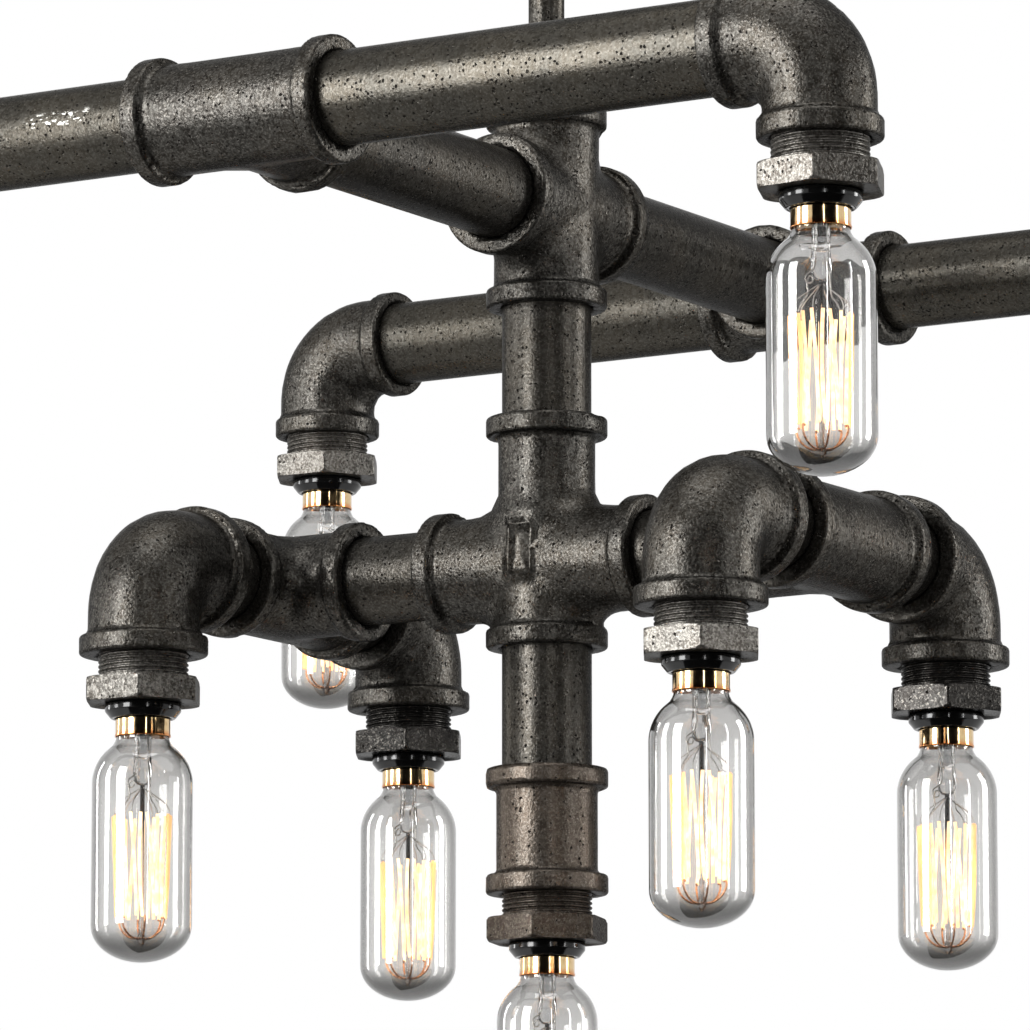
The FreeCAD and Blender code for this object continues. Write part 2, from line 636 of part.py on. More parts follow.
def holder_master(name):
    # A black lamp holder, its lower ring at zero, hollow from below for the bulb's cap.
    cavity = "sizes.cap_radius + sizes.cap_gap"
    seat = "sizes.cap_height + sizes.contact_height + sizes.contact_gap - sizes.cap_show"
    corners = (
        (cavity, "0"),
        ("sizes.ring_foot_radius", "0"),
        ("sizes.ring_radius", "sizes.ring_slope"),
        ("sizes.ring_radius", "sizes.ring_height"),
        ("sizes.holder_radius", "sizes.ring_height"),
        ("sizes.holder_radius", "sizes.holder_length"),
        ("0", "sizes.holder_length"),
        ("0", seat),
        (cavity, seat),
    )
    return lathe(name, corners)


def elbow_holder_master():
    # The holder with its lead, which bends with the elbow and ends where the elbow turns. The
    # elbow's corner is at zero.
    foot = "sizes.elbow_reach + sizes.thread_show + sizes.hex_height + sizes.ring_height"
    holder = place(holder_master("elbow_holder_body"), z="-(%s)" % foot)
    side_end = "sizes.elbow_reach - sizes.thread_depth - sizes.split_gap"
    down_end = "%s - sizes.holder_length" % foot
    lead = bent_rod("lead", "sizes.cable_radius", "sizes.lead_bend", side_end, down_end)
    return fuse("elbow_holder", [holder, lead])


def base_master():
    # The brass screw cap, open below, with its contact on top. Its lower edge is at zero.
    inner = "sizes.cap_radius - sizes.cap_wall"
    shell = "sizes.cap_height - sizes.cap_shoulder"
    corners = (
        (inner, "0"),
        ("sizes.cap_radius", "0"),
        ("sizes.cap_radius", shell),
        ("sizes.contact_radius", "sizes.cap_height"),
        ("sizes.contact_radius", "sizes.cap_height + sizes.contact_height"),
        ("0", "sizes.cap_height + sizes.contact_height"),
        ("0", "%s - sizes.cap_wall" % shell),
        (inner, "%s - sizes.cap_wall" % shell),
    )
    return lathe("base", corners)


def half_ellipsoid(name, axial, radial, upper):
    half = doc.addObject("Part::Ellipsoid", name)
    half.Angle1 = 0 if upper else -90
    half.Angle2 = 90 if upper else 0
    return bind(half, Radius1=axial, Radius2=radial, Radius3=radial)


def bulb_volume(name, inset):
    # Neck, shoulder, tube and domed end, drawn in by the inset. The cap's lower edge is at zero.
    neck = "sizes.cap_radius - sizes.cap_wall - sizes.neck_gap"
    radial = "sizes.bulb_radius - %s" % inset
    dome = "sizes.dome_height - %s" % inset
    shoulder = "sizes.shoulder_height - %s" % inset
    tube_base = "-sizes.glass_length + sizes.dome_height"
    tube_length = "sizes.glass_length - sizes.dome_height - sizes.shoulder_height"
    column = cylinder(name + "_tube", radial, tube_length)
    place(column, z=tube_base)
    domed = half_ellipsoid(name + "_dome", dome, radial, upper=False)
    place(domed, z=tube_base)
    rounded = half_ellipsoid(name + "_shoulder", shoulder, radial, upper=True)
    place(rounded, z="-sizes.shoulder_height")
    neck_length = "sizes.neck_depth + sizes.shoulder_height"
    collar = cylinder(name + "_neck", "%s - %s" % (neck, inset), neck_length)
    place(collar, z="-sizes.shoulder_height")
    return fuse(name, [column, domed, rounded, collar])


def glass_master():
    return cut("glass", bulb_volume("glass_outside", "0"), bulb_volume("glass_inside", "sizes.glass_wall"))


def lights():
    elbows = {
        UPPER_LEVEL: elbow_master("bar_elbow", "sizes.bar_elbow_radius", "sizes.bar_elbow_bead"),
        LOWER_LEVEL: elbow_master("arm_elbow", "sizes.arm_elbow_radius", "sizes.arm_elbow_bead"),
    }
    plug = "sizes.thread_show + sizes.thread_depth"
    bushing = hex_bushing("bushing", "sizes.hex_flats", "sizes.hex_height", plug, HOLDER_BORE)
    elbow_holder = elbow_holder_master()
    foot_holder = holder_master("foot_holder")
    base = base_master()
    glass = glass_master()
    for name, x, y, level, turn, hex_turn in ELBOWS:
        face = "%s - sizes.elbow_reach" % level
        elbow = copy_of(elbows[level], "elbow_" + name)
        subpart(place(elbow, x, y, level, turn), "elbow_" + name)
        holder = copy_of(elbow_holder, "holder_" + name)
        subpart(place(holder, x, y, level, turn), "lamp_holder_" + name)
        hang_light(name, bushing, base, glass, x, y, face, hex_turn)
    face = DROP_FACE
    foot_level = "%s - sizes.thread_show - sizes.hex_height - sizes.ring_height" % face
    subpart(place(foot_holder, z=foot_level), "lamp_holder_foot")
    hang_light("foot", bushing, base, glass, "0", "0", face, FOOT_HEX_TURN)


def hang_light(name, bushing, base, glass, x, y, face, hex_turn):
    # Bushing, cap and glass below a port whose face is at the given level.
    hex_base = "%s - sizes.thread_show - sizes.hex_height" % face
    cap_edge = "%s - sizes.ring_height - sizes.cap_show" % hex_base
    bushing_copy = copy_of(bushing, "bushing_" + name)
    subpart(place(bushing_copy, x, y, hex_base, hex_turn), "bushing_" + name)
    subpart(place(copy_of(base, "base_" + name), x, y, cap_edge), "bulb_base_" + name)
    subpart(place(copy_of(glass, "glass_" + name), x, y, cap_edge), "bulb_glass_" + name)


def check_document():
    for obj in doc.Objects:
        if "Invalid" in obj.State or "Error" in obj.State:
            raise RuntimeError("failed object: %s" % obj.Name)
    for obj in subparts:
        if obj.Shape.isNull() or not obj.Shape.isValid():
            raise RuntimeError("bad shape: %s" % obj.Label)


def export_subparts():
    os.makedirs("parts", exist_ok=True)
    for obj in subparts:
        obj.Shape.exportStep("parts/%s.step" % obj.Label)


fill_sheet()
ceiling_bracket()
stem_nut()
canopy()
canopy_collar()
stem_pipes()
stem_coupling()
stem_bushing()
upper_cross()
lower_cross()
pipe_tees()
crossbar_pipes()
bar_pipes()
arm_nipples()
column_pipes()
drop_coupling()
wiring()
lights()
doc.recompute()
check_document()
export_subparts()
print("%d sub-parts written" % len(subparts))
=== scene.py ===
import json
import math

import bpy
import numpy as np
import openvdb
from mathutils import Matrix, Vector


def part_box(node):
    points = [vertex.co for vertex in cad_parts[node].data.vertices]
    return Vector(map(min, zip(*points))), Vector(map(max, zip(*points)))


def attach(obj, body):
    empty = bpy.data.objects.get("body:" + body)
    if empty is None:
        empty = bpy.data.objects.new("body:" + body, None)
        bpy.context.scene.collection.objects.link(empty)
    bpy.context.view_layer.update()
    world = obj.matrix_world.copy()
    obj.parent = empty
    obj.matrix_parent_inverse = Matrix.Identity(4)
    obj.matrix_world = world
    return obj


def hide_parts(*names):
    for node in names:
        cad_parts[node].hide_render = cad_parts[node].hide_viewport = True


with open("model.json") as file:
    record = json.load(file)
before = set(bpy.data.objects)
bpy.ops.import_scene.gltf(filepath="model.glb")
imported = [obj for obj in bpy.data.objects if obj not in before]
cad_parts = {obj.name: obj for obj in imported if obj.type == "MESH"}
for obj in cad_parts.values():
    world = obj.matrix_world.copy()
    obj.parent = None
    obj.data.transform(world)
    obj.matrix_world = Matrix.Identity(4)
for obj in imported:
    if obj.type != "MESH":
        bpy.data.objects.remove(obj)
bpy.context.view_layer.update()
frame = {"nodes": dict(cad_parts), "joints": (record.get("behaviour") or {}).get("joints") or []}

# Lengths are millimetres and angles degrees unless a comment says otherwise.
MM = 0.001
TINY = 1e-6

# Pipes, and the castings that they are screwed into. A reach runs from a casting's centre to a port's face.
PIPE_RADIUS = 21.1
SOCKET_RADIUS = 21.15
SOCKET_DEPTH = 17.5
SOCKET_CHAMFER = 1.2
WATERWAY_RADIUS = 18.0
BODY_RADIUS = 25.0
NECK_RADIUS = 22.9
NECK_START = 20.0
NECK_TAPER = 10.0
BEAD_RADIUS = 28.7
BEAD_WIDTH = 9.2
BEAD_ROUND = 1.5
BEAD_BLEND = 3.0
ARM_BLEND = 15.0
TEE_REACH = 50.0
CROSS_REACH = 48.0
NECK_REACH = 69.5
SIDE_REACH = 58.5
FOOT_REACH = 40.0
COUPLING_RADIUS = 23.8
COUPLING_LENGTH = 59.0
ELBOW_REACH = 46.0
ELBOW_BEND = 27.0
ELBOW_RADII = {"upper": 24.4, "lower": 26.2}
ELBOW_BEADS = {"upper": 27.2, "lower": 30.2}
CROTCH_BLEND = 14.0
BEND_BLEND = 1.0
LEAST_BLEND_SHARE = 0.02

# The castings' uneven skin. Each wave has its axis, rate and bend, and then the axis, rate and start of
# the wave that bends it.
UNEVEN_DEPTH = 0.12
UNEVEN_WAVES = (
    (0, 0.21, 1.3, 1, 0.13, 0.4),
    (1, 0.17, 1.1, 2, 0.19, 1.9),
    (2, 0.23, 1.2, 0, 0.11, 2.7),
)

# The blank rectangular rim on the lower cross.
PLAQUE_LEVEL = 5.0
PLAQUE_HALF_WIDTH = 6.0
PLAQUE_HALF_HEIGHT = 11.5
PLAQUE_RIM = 1.6
PLAQUE_SLOPE = 0.8
PLAQUE_RISE = 0.9

# The grid on which a casting's surface is found, and how it is settled.
GRID_STEP = 1.0
GRID_MARGIN = 2.0
GRID_SHIFT = 0.37
GRID_ADAPTIVITY = 0.25
FAR = 10.0
SLOPE_REACH = 0.05
SETTLE_ROUNDS = 5
SETTLE_LONGEST = 0.4
SETTLE_STEEPNESS = 0.05
SAMPLE_FACES = 200

# Turned pieces.
TURNED_ANGLES = 72
EDGE_EASE = 0.5
EDGE_EASE_SHARE = 0.45

# The bushings: a hexagon with a thread above it.
HEX_FLATS = 51.0
HEX_INSET = 0.15
HEX_HEIGHT = 11.5
HEX_BEVEL = 1.6
HEX_TURNS = {"upper_front_right": -7, "foot": -13}
THREAD_SHOW = 11.0
THREAD_DEPTH = 17.0
THREAD_PITCH = 2.2
THREAD_STEPS_PER_TURN = 8
THREAD_CUT = 1.15
THREAD_START = 0.25
THREAD_FADE_START = 0.6
THREAD_FADE = 1.2
THREAD_LEAD_IN = 3.0
THREAD_END_INSET = 0.6

# The lamp holders and the leads above them.
HOLDER_RADIUS = 16.5
HOLDER_BORE = 16.7
HOLDER_LENGTH = 50.0
HOLDER_THREAD_CUT = 0.8
RING_RADIUS = 17.8
RING_FOOT_RADIUS = 15.0
RING_HEIGHT = 7.0
RING_SLOPE = 3.4
LEAD_RADIUS = 2.2
LEAD_BEND = 20.0
LEAD_CORNER = 6.0
SPLIT_GAP = 0.6

# The bulbs' screw caps.
CAP_RADIUS = 13.1
CAP_WALL = 0.6
CAP_HEIGHT = 24.0
CAP_SHOW = 8.5
CAP_GAP = 0.4
CAP_SHOULDER = 2.2
CAP_SLEEVE_INSET = 0.25
CAP_THREAD_PITCH = 3.6
CAP_THREAD_INSET = 0.9
CAP_THREAD_RISE = 0.85
CONTACT_RADIUS = 4.8
CONTACT_HEIGHT = 2.6
CONTACT_GAP = 0.4

# The bulbs' glasses. Heights in a bulb are from its cap's lower edge, and are negative in the glass.
GLASS_NECK = 12.3
GLASS_WALL = 1.0
BULB_RADIUS = 23.5
SHOULDER_HEIGHT = 22.0
SHOULDER_START = 2.0
STRAIGHT_HEIGHTS = (-40.0, -64.0)
DOME_HEIGHT = 17.0
GLASS_LENGTH = 105.0
NECK_DEPTH = 14.0

# The bulbs' insides, as radius and height or as points. They are turned to face the photograph's camera.
BULB_TURN = 31.6
STEM_FLARE = ((11.1, 13.4), (10.6, 11.6), (8.2, 8.8), (5.8, 5.6), (4.5, 2.0), (4.1, -2.0), (4.0, -9.0))
STEM_PRESS = ((4.0, -13.0), (4.1, -17.0), (3.6, -20.5), (2.2, -22.3), (0.0, -22.8))
STEM_INSIDE = (
    (0.0, -10.5), (2.2, -9.5), (3.1, -6.0), (3.2, -2.0), (3.6, 2.0), (4.9, 6.0), (7.4, 9.6), (9.8, 12.6),
    (10.3, 13.6),
)
STEM_ANGLES = 48
PRESS_START = -9.0
PRESS_LENGTH = 5.0
PRESS_WIDER = 0.10
PRESS_THINNER = 0.50
ROD = ((0.0, -22.0), (1.1, -22.3), (1.1, -91.0), (1.9, -93.0), (1.9, -95.0), (1.2, -97.0), (0.0, -97.8))
ROD_ANGLES = 16
LOOPED_LEAD = (
    (-1.8, -0.6, 2.0), (-2.0, -0.6, -12.0), (-2.4, -0.8, -17.0), (-4.6, -1.6, -18.6), (-6.9, -2.4, -20.4),
    (-6.6, -3.0, -23.6), (-4.2, -3.2, -24.0), (-3.4, -2.6, -21.6), (-5.2, -2.0, -20.0), (-6.4, -1.8, -24.0),
    (-5.4, -2.2, -28.0), (-8.0, -3.0, -31.5), (-10.0, -3.4, -36.0),
)
STRAIGHT_LEAD = (
    (2.2, -0.6, 2.0), (2.6, -0.6, -14.0), (3.6, -1.2, -20.0), (3.8, -2.4, -30.0), (6.0, -6.0, -32.0),
    (7.4, -8.0, -36.5),
)
INNER_LEAD_RADIUS = 0.38
UPPER_HOOK = ((1.2, -24.0), (5.6, -27.0), (11.4, -31.0), (13.2, -34.5), (12.8, -37.2), (12.0, -36.0))
LOWER_HOOK = ((0.8, -94.0), (4.4, -94.5), (9.4, -91.0), (11.5, -86.5), (10.9, -83.8), (9.9, -85.0))
UPPER_HOOK_RADIUS = 0.24
LOWER_HOOK_RADIUS = 0.48
HOOK_COUNT = 6
FILAMENT_COUNT = 20
FILAMENT_SEED = 7
FILAMENT_RADIUS = 0.78
FILAMENT_TOP = -36.0
FILAMENT_TOP_RADIUS = 13.2
FILAMENT_END = -85.0
FILAMENT_END_RADIUS = 11.5

# Paint scraped off the front bar's left pipe: its two ends along X, the height of its middle above the
# pipe's axis, how far from there it fades, and the Y between the front bar and everything behind it.
SCRAPE_ALONG = (-108.0, -68.0)
SCRAPE_END_FADE = 6.0
SCRAPE_RISE = 3.0
SCRAPE_SIDE_FADE = (2.0, 4.0)
BEHIND_FRONT_BAR = (-200.0, -190.0)

# Where the glass is darkened by painted shade, at its end and shoulder, and where the filament's outer
# strands are cooler.
PAINTED_SHADE_END = (-100.0, -88.0)
PAINTED_SHADE_SHOULDER = (-36.0, -6.0)
COOLER_LEFT = (-9.0, -6.6)
COOLER_RIGHT = (10.2, 12.0)

# Where the cap changes from brass to its insulator and from that to its contact.
# How far up from the cap's lower edge the painted reflection of the filament's glow reaches.
PAINTED_GLOW_HEIGHT = 3.4
INSULATOR_START = 21.8
CONTACT_START = 23.8
CAP_EDGE_FADE = 0.4

# Softened edges of the CAD pieces that stay.
BEVEL_SEGMENTS = 2
BEVEL_ANGLE = 30

# The photograph's view, in metres: from below and from the front right, with a long lens.
CAMERA_BACK = Vector((0.5173, -0.8409, -0.1590))
CAMERA_RIGHT = Vector((0.8517, 0.5240, 0.0))
CAMERA_UP = Vector((0.0833, -0.1354, 0.9873))
CAMERA_DISTANCE = 3.315
CAMERA_LEFTWARD = 0.0149
CAMERA_DOWNWARD = 0.1443
CAMERA_LENS = 244.7
CAMERA_SENSOR = 36.0

# The studio, in metres. A lamp has its name, azimuth, elevation, distance, width, height and radiance.
STUDIO_MIDDLE = Vector((0.0, 0.0, -0.55))
SOFTBOXES = (
    ("key_light", -20.0, 10.0, 1.7, 0.54, 1.2, 19.5),
    ("second_light", -53.0, 9.0, 1.7, 0.32, 1.2, 14.0),
    ("rim_light", 128.0, 8.0, 1.7, 0.42, 1.3, 13.0),
    ("left_strip", -86.0, 5.0, 1.8, 0.16, 1.3, 12.0),
    ("side_strip", 86.0, 5.0, 1.8, 0.07, 1.3, 20.0),
    ("front_strip", 42.0, 5.0, 1.8, 0.05, 1.3, 18.0),
    ("top_light", 20.0, 78.0, 1.6, 1.2, 1.2, 3.0),
)
CLOTH_AZIMUTH = 42.0
SCREEN_DISTANCE = 4.2
SCREEN_LEVEL = -0.70
SCREEN_SIZE = (8.0, 6.0)
MAT_DISTANCE = 2.3
MAT_LEVEL = -2.36
MAT_SIZE = (4.6, 4.6)
FLOOR_SIZE = 400.0
FLOOR_LEVEL = -2.4
FLOOR_SEEN = 0.6
WORLD_UNSEEN = 0.16
WHITE = 1.0


def level_of(node):
    low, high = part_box(node)
    return (low[2] + high[2]) / 2 / MM


UPPER_LEVEL = level_of("crossbar_pipes")
LOWER_LEVEL = level_of("arm_nipples")
DROP_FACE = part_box("drop_coupling")[0][2] / MM

# The corner of each elbow that turns.
SWING = "swing_"
ARMS = {}
for joint in frame["joints"]:
    if joint["name"].startswith(SWING):
        ARMS[joint["name"].removeprefix(SWING)] = [value / MM for value in joint["pos_m"]]


# Shapes of the castings, as signed distances from their surface: negative inside.

# A port is the axis that it lies on and the side that it looks to.
RIGHT, LEFT = (0, 1), (0, -1)
BACK, FRONT = (1, 1), (1, -1)
UP, DOWN = (2, 1), (2, -1)


def smooth_min(a, b, blend):
    share = np.clip(0.5 + 0.5 * (b - a) / blend, 0.0, 1.0)
    return b + (a - b) * share - blend * share * (1.0 - share)


def fading_blend(widest, cosine):
    # The blend of two round arms, which fades where their surfaces face the same way.
    return widest * np.clip(1.0 - cosine, LEAST_BLEND_SHARE, 1.0)


def across_and_along(point, axis):
    others = [point[i] for i in range(3) if i != axis]
    return np.hypot(*others), point[axis]


def bead_field(across, along, reach, radius=BEAD_RADIUS):
    # A round disc with rounded edges, whose outer face is at the port.
    outward = across - (radius - BEAD_ROUND)
    endward = np.abs(along - (reach - BEAD_WIDTH / 2)) - (BEAD_WIDTH / 2 - BEAD_ROUND)
    outside = np.hypot(np.maximum(outward, 0.0), np.maximum(endward, 0.0))
    return outside + np.minimum(np.maximum(outward, endward), 0.0) - BEAD_ROUND


def port_hollow(across, along, reach, start=0.0):
    # The waterway, the recess for the pipe and the chamfer at its mouth.
    waterway = np.maximum(across - WATERWAY_RADIUS, start - along)
    recess = np.maximum(across - SOCKET_RADIUS, reach - SOCKET_DEPTH - along)
    mouth = (across - SOCKET_RADIUS - (along - (reach - SOCKET_CHAMFER))) * math.sqrt(0.5)
    mouth = np.maximum(mouth, reach - 2 * SOCKET_CHAMFER - along)
    return np.minimum(np.minimum(waterway, recess), mouth)


def unevenness(point):
    # Slow waves of a sand casting's skin, from 0 to 1.
    waves = 0.0
    for axis, rate, bend, bending_axis, bending_rate, start in UNEVEN_WAVES:
        bent = bend * np.sin(bending_rate * point[bending_axis] + start)
        waves = waves + np.sin(rate * point[axis] + bent)
    return 0.5 + waves / (2 * len(UNEVEN_WAVES))


def rod_field(point, axis, ports):
    # One arm from the centre, or two as one rod whose radius changes smoothly between theirs.
    across, along = across_and_along(point, axis)
    ahead = ports[(axis, 1)][1]
    if (axis, -1) not in ports:
        return np.maximum(across - ahead, -along)
    behind = ports[(axis, -1)][1]
    turn = np.clip((along - NECK_START) / NECK_TAPER, 0.0, 1.0)
    return across - (behind + (ahead - behind) * turn * turn * (3.0 - 2.0 * turn))


def casting(ports, detail=None):
    """Field of a fitting whose straight arms meet at its centre, on one axis or two.

    ports maps each port to its reach and its arm's radius, and has the positive side of each axis used.
    detail gives how far the surface stands proud."""
    axes = sorted({axis for axis, side in ports})
    first = axes[0]

    def field(point):
        body = rod_field(point, first, ports)
        for axis in axes[1:]:
            shared = 3 - first - axis
            spread = across_and_along(point, axis)[0] * across_and_along(point, first)[0]
            cosine = point[shared] ** 2 / np.maximum(spread, TINY)
            body = smooth_min(body, rod_field(point, axis, ports), fading_blend(ARM_BLEND, cosine))
        hollow = np.full(np.shape(body), FAR)
        for (axis, side), (reach, _) in ports.items():
            across, along = across_and_along(point, axis)
            body = smooth_min(body, bead_field(across, side * along, reach), BEAD_BLEND)
            hollow = np.minimum(hollow, port_hollow(across, side * along, reach))
        body = body + UNEVEN_DEPTH * unevenness(point)
        if detail is not None:
            body = body - detail(point)
        for (axis, side), (reach, _) in ports.items():
            body = np.maximum(body, side * point[axis] - reach)
        return np.maximum(body, -hollow)

    return field


def plaque(point):
    # A raised rectangular rim on the front of the lower cross, with a blank field.
    x, y, z = point
    aside = np.abs(x) - PLAQUE_HALF_WIDTH
    upward = np.abs(z - PLAQUE_LEVEL) - PLAQUE_HALF_HEIGHT
    rim = np.abs(np.maximum(aside, upward))
    height = np.clip((PLAQUE_RIM - rim) / PLAQUE_SLOPE, 0.0, 1.0)
    return PLAQUE_RISE * height * (y < 0)


def bend_field(point, radius):
    # A round rod that comes in along minus X, bends at the corner and leaves along minus Z.
    x, y, z = point
    side = np.hypot(y, z)
    down = np.hypot(x, y)
    bend = np.hypot(np.hypot(x + ELBOW_BEND, z + ELBOW_BEND) - ELBOW_BEND, y)
    past_side = x < -ELBOW_BEND
    past_down = z < -ELBOW_BEND
    centre = np.where(past_side, side, np.where(past_down, down, bend))
    centre = np.where(past_side & past_down, np.minimum(side, down), centre)
    return centre - radius


def crotch_field(point, radius):
    # Metal that fills the sharp inner corner of the bend.
    x, y, z = point
    side = np.hypot(y, z)
    down = np.hypot(x, y)
    cosine = y * y / np.maximum(side * down, TINY)
    filled = smooth_min(side - radius, down - radius, fading_blend(CROTCH_BLEND, cosine))
    turned = np.hypot(x + ELBOW_BEND, z + ELBOW_BEND) - ELBOW_BEND
    in_bend = (x > -ELBOW_BEND) & (z > -ELBOW_BEND)
    filled = np.where(in_bend, np.maximum(filled, turned), filled)
    return np.where((x < 0.0) & (z < 0.0), filled, FAR)


def elbow(body_radius, bead_radius):
    """Field of an elbow with a port along minus X and one along minus Z."""

    def field(point):
        x, y, z = point
        ports = ((np.hypot(y, z), -x), (np.hypot(x, y), -z))
        body = smooth_min(bend_field(point, body_radius), crotch_field(point, body_radius), BEND_BLEND)
        hollow = bend_field(point, WATERWAY_RADIUS)
        for across, along in ports:
            body = smooth_min(body, bead_field(across, along, ELBOW_REACH, bead_radius), BEAD_BLEND)
            hollow = np.minimum(hollow, port_hollow(across, along, ELBOW_REACH, ELBOW_BEND))
        body = body + UNEVEN_DEPTH * unevenness(point)
        body = np.maximum(np.maximum(body, -x - ELBOW_REACH), -z - ELBOW_REACH)
        return np.maximum(body, -hollow)

    return field


def gradient(field, points):
    slopes = []
    for axis in range(3):
        ahead = [points[:, i] + (SLOPE_REACH if i == axis else 0.0) for i in range(3)]
        behind = [points[:, i] - (SLOPE_REACH if i == axis else 0.0) for i in range(3)]
        slopes.append((field(ahead) - field(behind)) / (2.0 * SLOPE_REACH))
    return np.stack(slopes, axis=1)


def lengths(vectors):
    # In a column, and never zero.
    return np.maximum(np.sqrt((vectors ** 2).sum(axis=1)), TINY)[:, None]


def settled(field, points):
    # Moves the points onto the surface along the slope, a short step at a time.
    for _ in range(SETTLE_ROUNDS):
        slope = gradient(field, points)
        steepness = np.maximum((slope ** 2).sum(axis=1), SETTLE_STEEPNESS)
        move = (field([points[:, i] for i in range(3)]) / steepness)[:, None] * slope
        points = points - move * np.minimum(1.0, SETTLE_LONGEST / lengths(move))
    return points


def facing_out(faces, points, normals):
    # The faces, turned over if their corners run round the wrong way.
    facing = 0.0
    for face in faces[:SAMPLE_FACES]:
        a, b, c = (points[i] for i in face[:3])
        facing += float(np.dot(np.cross(b - a, c - a), normals[face[0]]))
    return faces if facing >= 0.0 else [face[::-1] for face in faces]


def finished(mesh, material):
    mesh.polygons.foreach_set("use_smooth", [True] * len(mesh.polygons))
    mesh.materials.clear()
    mesh.materials.append(material)
    return mesh


def cast_mesh(name, field, low, high, material):
    """The mesh of a field's surface between two corners, shaded by the field's own slope."""
    ticks = []
    for i in range(3):
        tick = np.arange(low[i] - GRID_MARGIN, high[i] + GRID_MARGIN + GRID_STEP, GRID_STEP)
        ticks.append(tick + GRID_SHIFT)
    grid = openvdb.FloatGrid(FAR)
    distance = field(np.meshgrid(*ticks, indexing="ij"))
    grid.copyFromArray(np.clip(distance, -FAR, FAR).astype(np.float32))
    points, triangles, quads = grid.convertToPolygons(isovalue=0.0, adaptivity=GRID_ADAPTIVITY)
    start = np.array([tick[0] for tick in ticks])
    points = settled(field, start + points.astype(float) * GRID_STEP)
    normals = gradient(field, points)
    normals = normals / lengths(normals)
    faces = [list(map(int, face)) for face in quads] + [list(map(int, face)) for face in triangles]
    mesh = bpy.data.meshes.new(name)
    mesh.from_pydata((points * MM).tolist(), [], facing_out(faces, points, normals))
    mesh.validate()
    mesh.update()
    finished(mesh, material)
    mesh.normals_split_custom_set_from_vertices(normals.tolist())
    return mesh


# Turned pieces.

def wave(turns):
    # 0 at whole turns and 1 halfway between them.
    return 0.5 - 0.5 * math.cos(2 * math.pi * turns)


def steps(start, end, spacing):
    count = max(1, round(abs(end - start) / spacing))
    return [start + (end - start) * i / count for i in range(count + 1)]


def eased(corners):
    # Each corner between the ends of the outline becomes a small arc of three points.
    result = [corners[0]]
    for before, corner, after in zip(corners, corners[1:], corners[2:]):
        here = np.array(corner, float)
        into = np.array(before, float) - here
        out = np.array(after, float) - here
        reach_in = min(EDGE_EASE, EDGE_EASE_SHARE * np.hypot(*into))
        reach_out = min(EDGE_EASE, EDGE_EASE_SHARE * np.hypot(*out))
        start = here + into / np.hypot(*into) * reach_in
        end = here + out / np.hypot(*out) * reach_out
        middle = (start + 2 * here + end) / 4
        result += [tuple(start), tuple(middle), tuple(end)]
    return result + [corners[-1]]


def turned_over(outline):
    # The outline in the order that runs up on its outside, so that the faces look outward.
    area = sum(a[0] * b[1] - b[0] * a[1] for a, b in zip(outline, outline[1:] + outline[:1]))
    return outline[::-1] if area < 0.0 else outline


def lathe_mesh(name, outline, material, angles, shape=None):
    """A mesh turned about Z from a closed outline of (radius, height) pairs.

    angles is their number or a list in radians. shape, if given, changes a point's radius."""
    if isinstance(angles, int):
        angles = [2 * math.pi * i / angles for i in range(angles)]
    vertices = []
    rings = []
    for radius, height in turned_over(outline):
        if radius < TINY:
            rings.append([len(vertices)])
            vertices.append((0.0, 0.0, height * MM))
            continue
        ring = []
        for angle in angles:
            here = shape(radius, height, angle) if shape else radius
            ring.append(len(vertices))
            vertices.append((here * math.cos(angle) * MM, here * math.sin(angle) * MM, height * MM))
        rings.append(ring)
    faces = []
    for lower, upper in zip(rings, rings[1:] + rings[:1]):
        if len(lower) == 1 and len(upper) == 1:
            continue
        for i in range(len(angles)):
            j = (i + 1) % len(angles)
            if len(lower) == 1:
                faces.append((lower[0], upper[j], upper[i]))
            elif len(upper) == 1:
                faces.append((lower[i], lower[j], upper[0]))
            else:
                faces.append((lower[i], lower[j], upper[j], upper[i]))
    mesh = bpy.data.meshes.new(name)
    mesh.from_pydata(vertices, [], faces)
    mesh.update()
    return finished(mesh, material)


# A hexagon's points, closest together near its corners.
HEX_OFFSETS = (0.0, 1.5, 4.0, 9.0, 15.0, 22.0, 30.0, 38.0, 45.0, 51.0, 56.0, 58.5)
HEX_ANGLES = [math.radians(60 * side + offset) for side in range(6) for offset in HEX_OFFSETS]


def hexagon_radius(angle):
    # Distance from the axis to a hexagon with a corner at zero.
    turned = math.fmod(math.degrees(angle), 60.0) - 30.0
    return HEX_FLATS / 2 / math.cos(math.radians(turned))


def bushing_shape(radius, height, angle):
    # A hexagon, a hair inside the CAD one, with a thread above it. The bore stays round.
    if height <= HEX_HEIGHT:
        return min(radius, hexagon_radius(angle) - HEX_INSET)
    if radius < PIPE_RADIUS:
        return radius
    groove = wave((height - HEX_HEIGHT) / THREAD_PITCH - angle / (2 * math.pi))
    fade = min(1.0, max(0.0, (height - HEX_HEIGHT - THREAD_FADE_START) / THREAD_FADE))
    return radius - THREAD_CUT * groove ** 1.5 * fade


def bushing_mesh(name, material, turn=0.0):
    # The turn is in the mesh, so that the piece itself stands square.
    corner = HEX_FLATS / 2 / math.cos(math.radians(30))
    top = HEX_HEIGHT + THREAD_SHOW + THREAD_DEPTH
    hexagon = eased((
        (HOLDER_BORE, 0.0),
        (corner - HEX_BEVEL, 0.0),
        (corner, HEX_BEVEL),
        (corner, HEX_HEIGHT - HEX_BEVEL),
        (corner - HEX_BEVEL, HEX_HEIGHT),
        (PIPE_RADIUS, HEX_HEIGHT),
    ))
    spacing = THREAD_PITCH / THREAD_STEPS_PER_TURN
    heights = steps(HEX_HEIGHT + THREAD_START, top - THREAD_LEAD_IN, spacing)
    thread = [(PIPE_RADIUS, height) for height in heights]
    end = [(PIPE_RADIUS - THREAD_END_INSET, top), (HOLDER_BORE, top)]
    mesh = lathe_mesh(name, hexagon + thread + end, material, HEX_ANGLES, bushing_shape)
    mesh.transform(Matrix.Rotation(math.radians(turn), 4, "Z"))
    return mesh


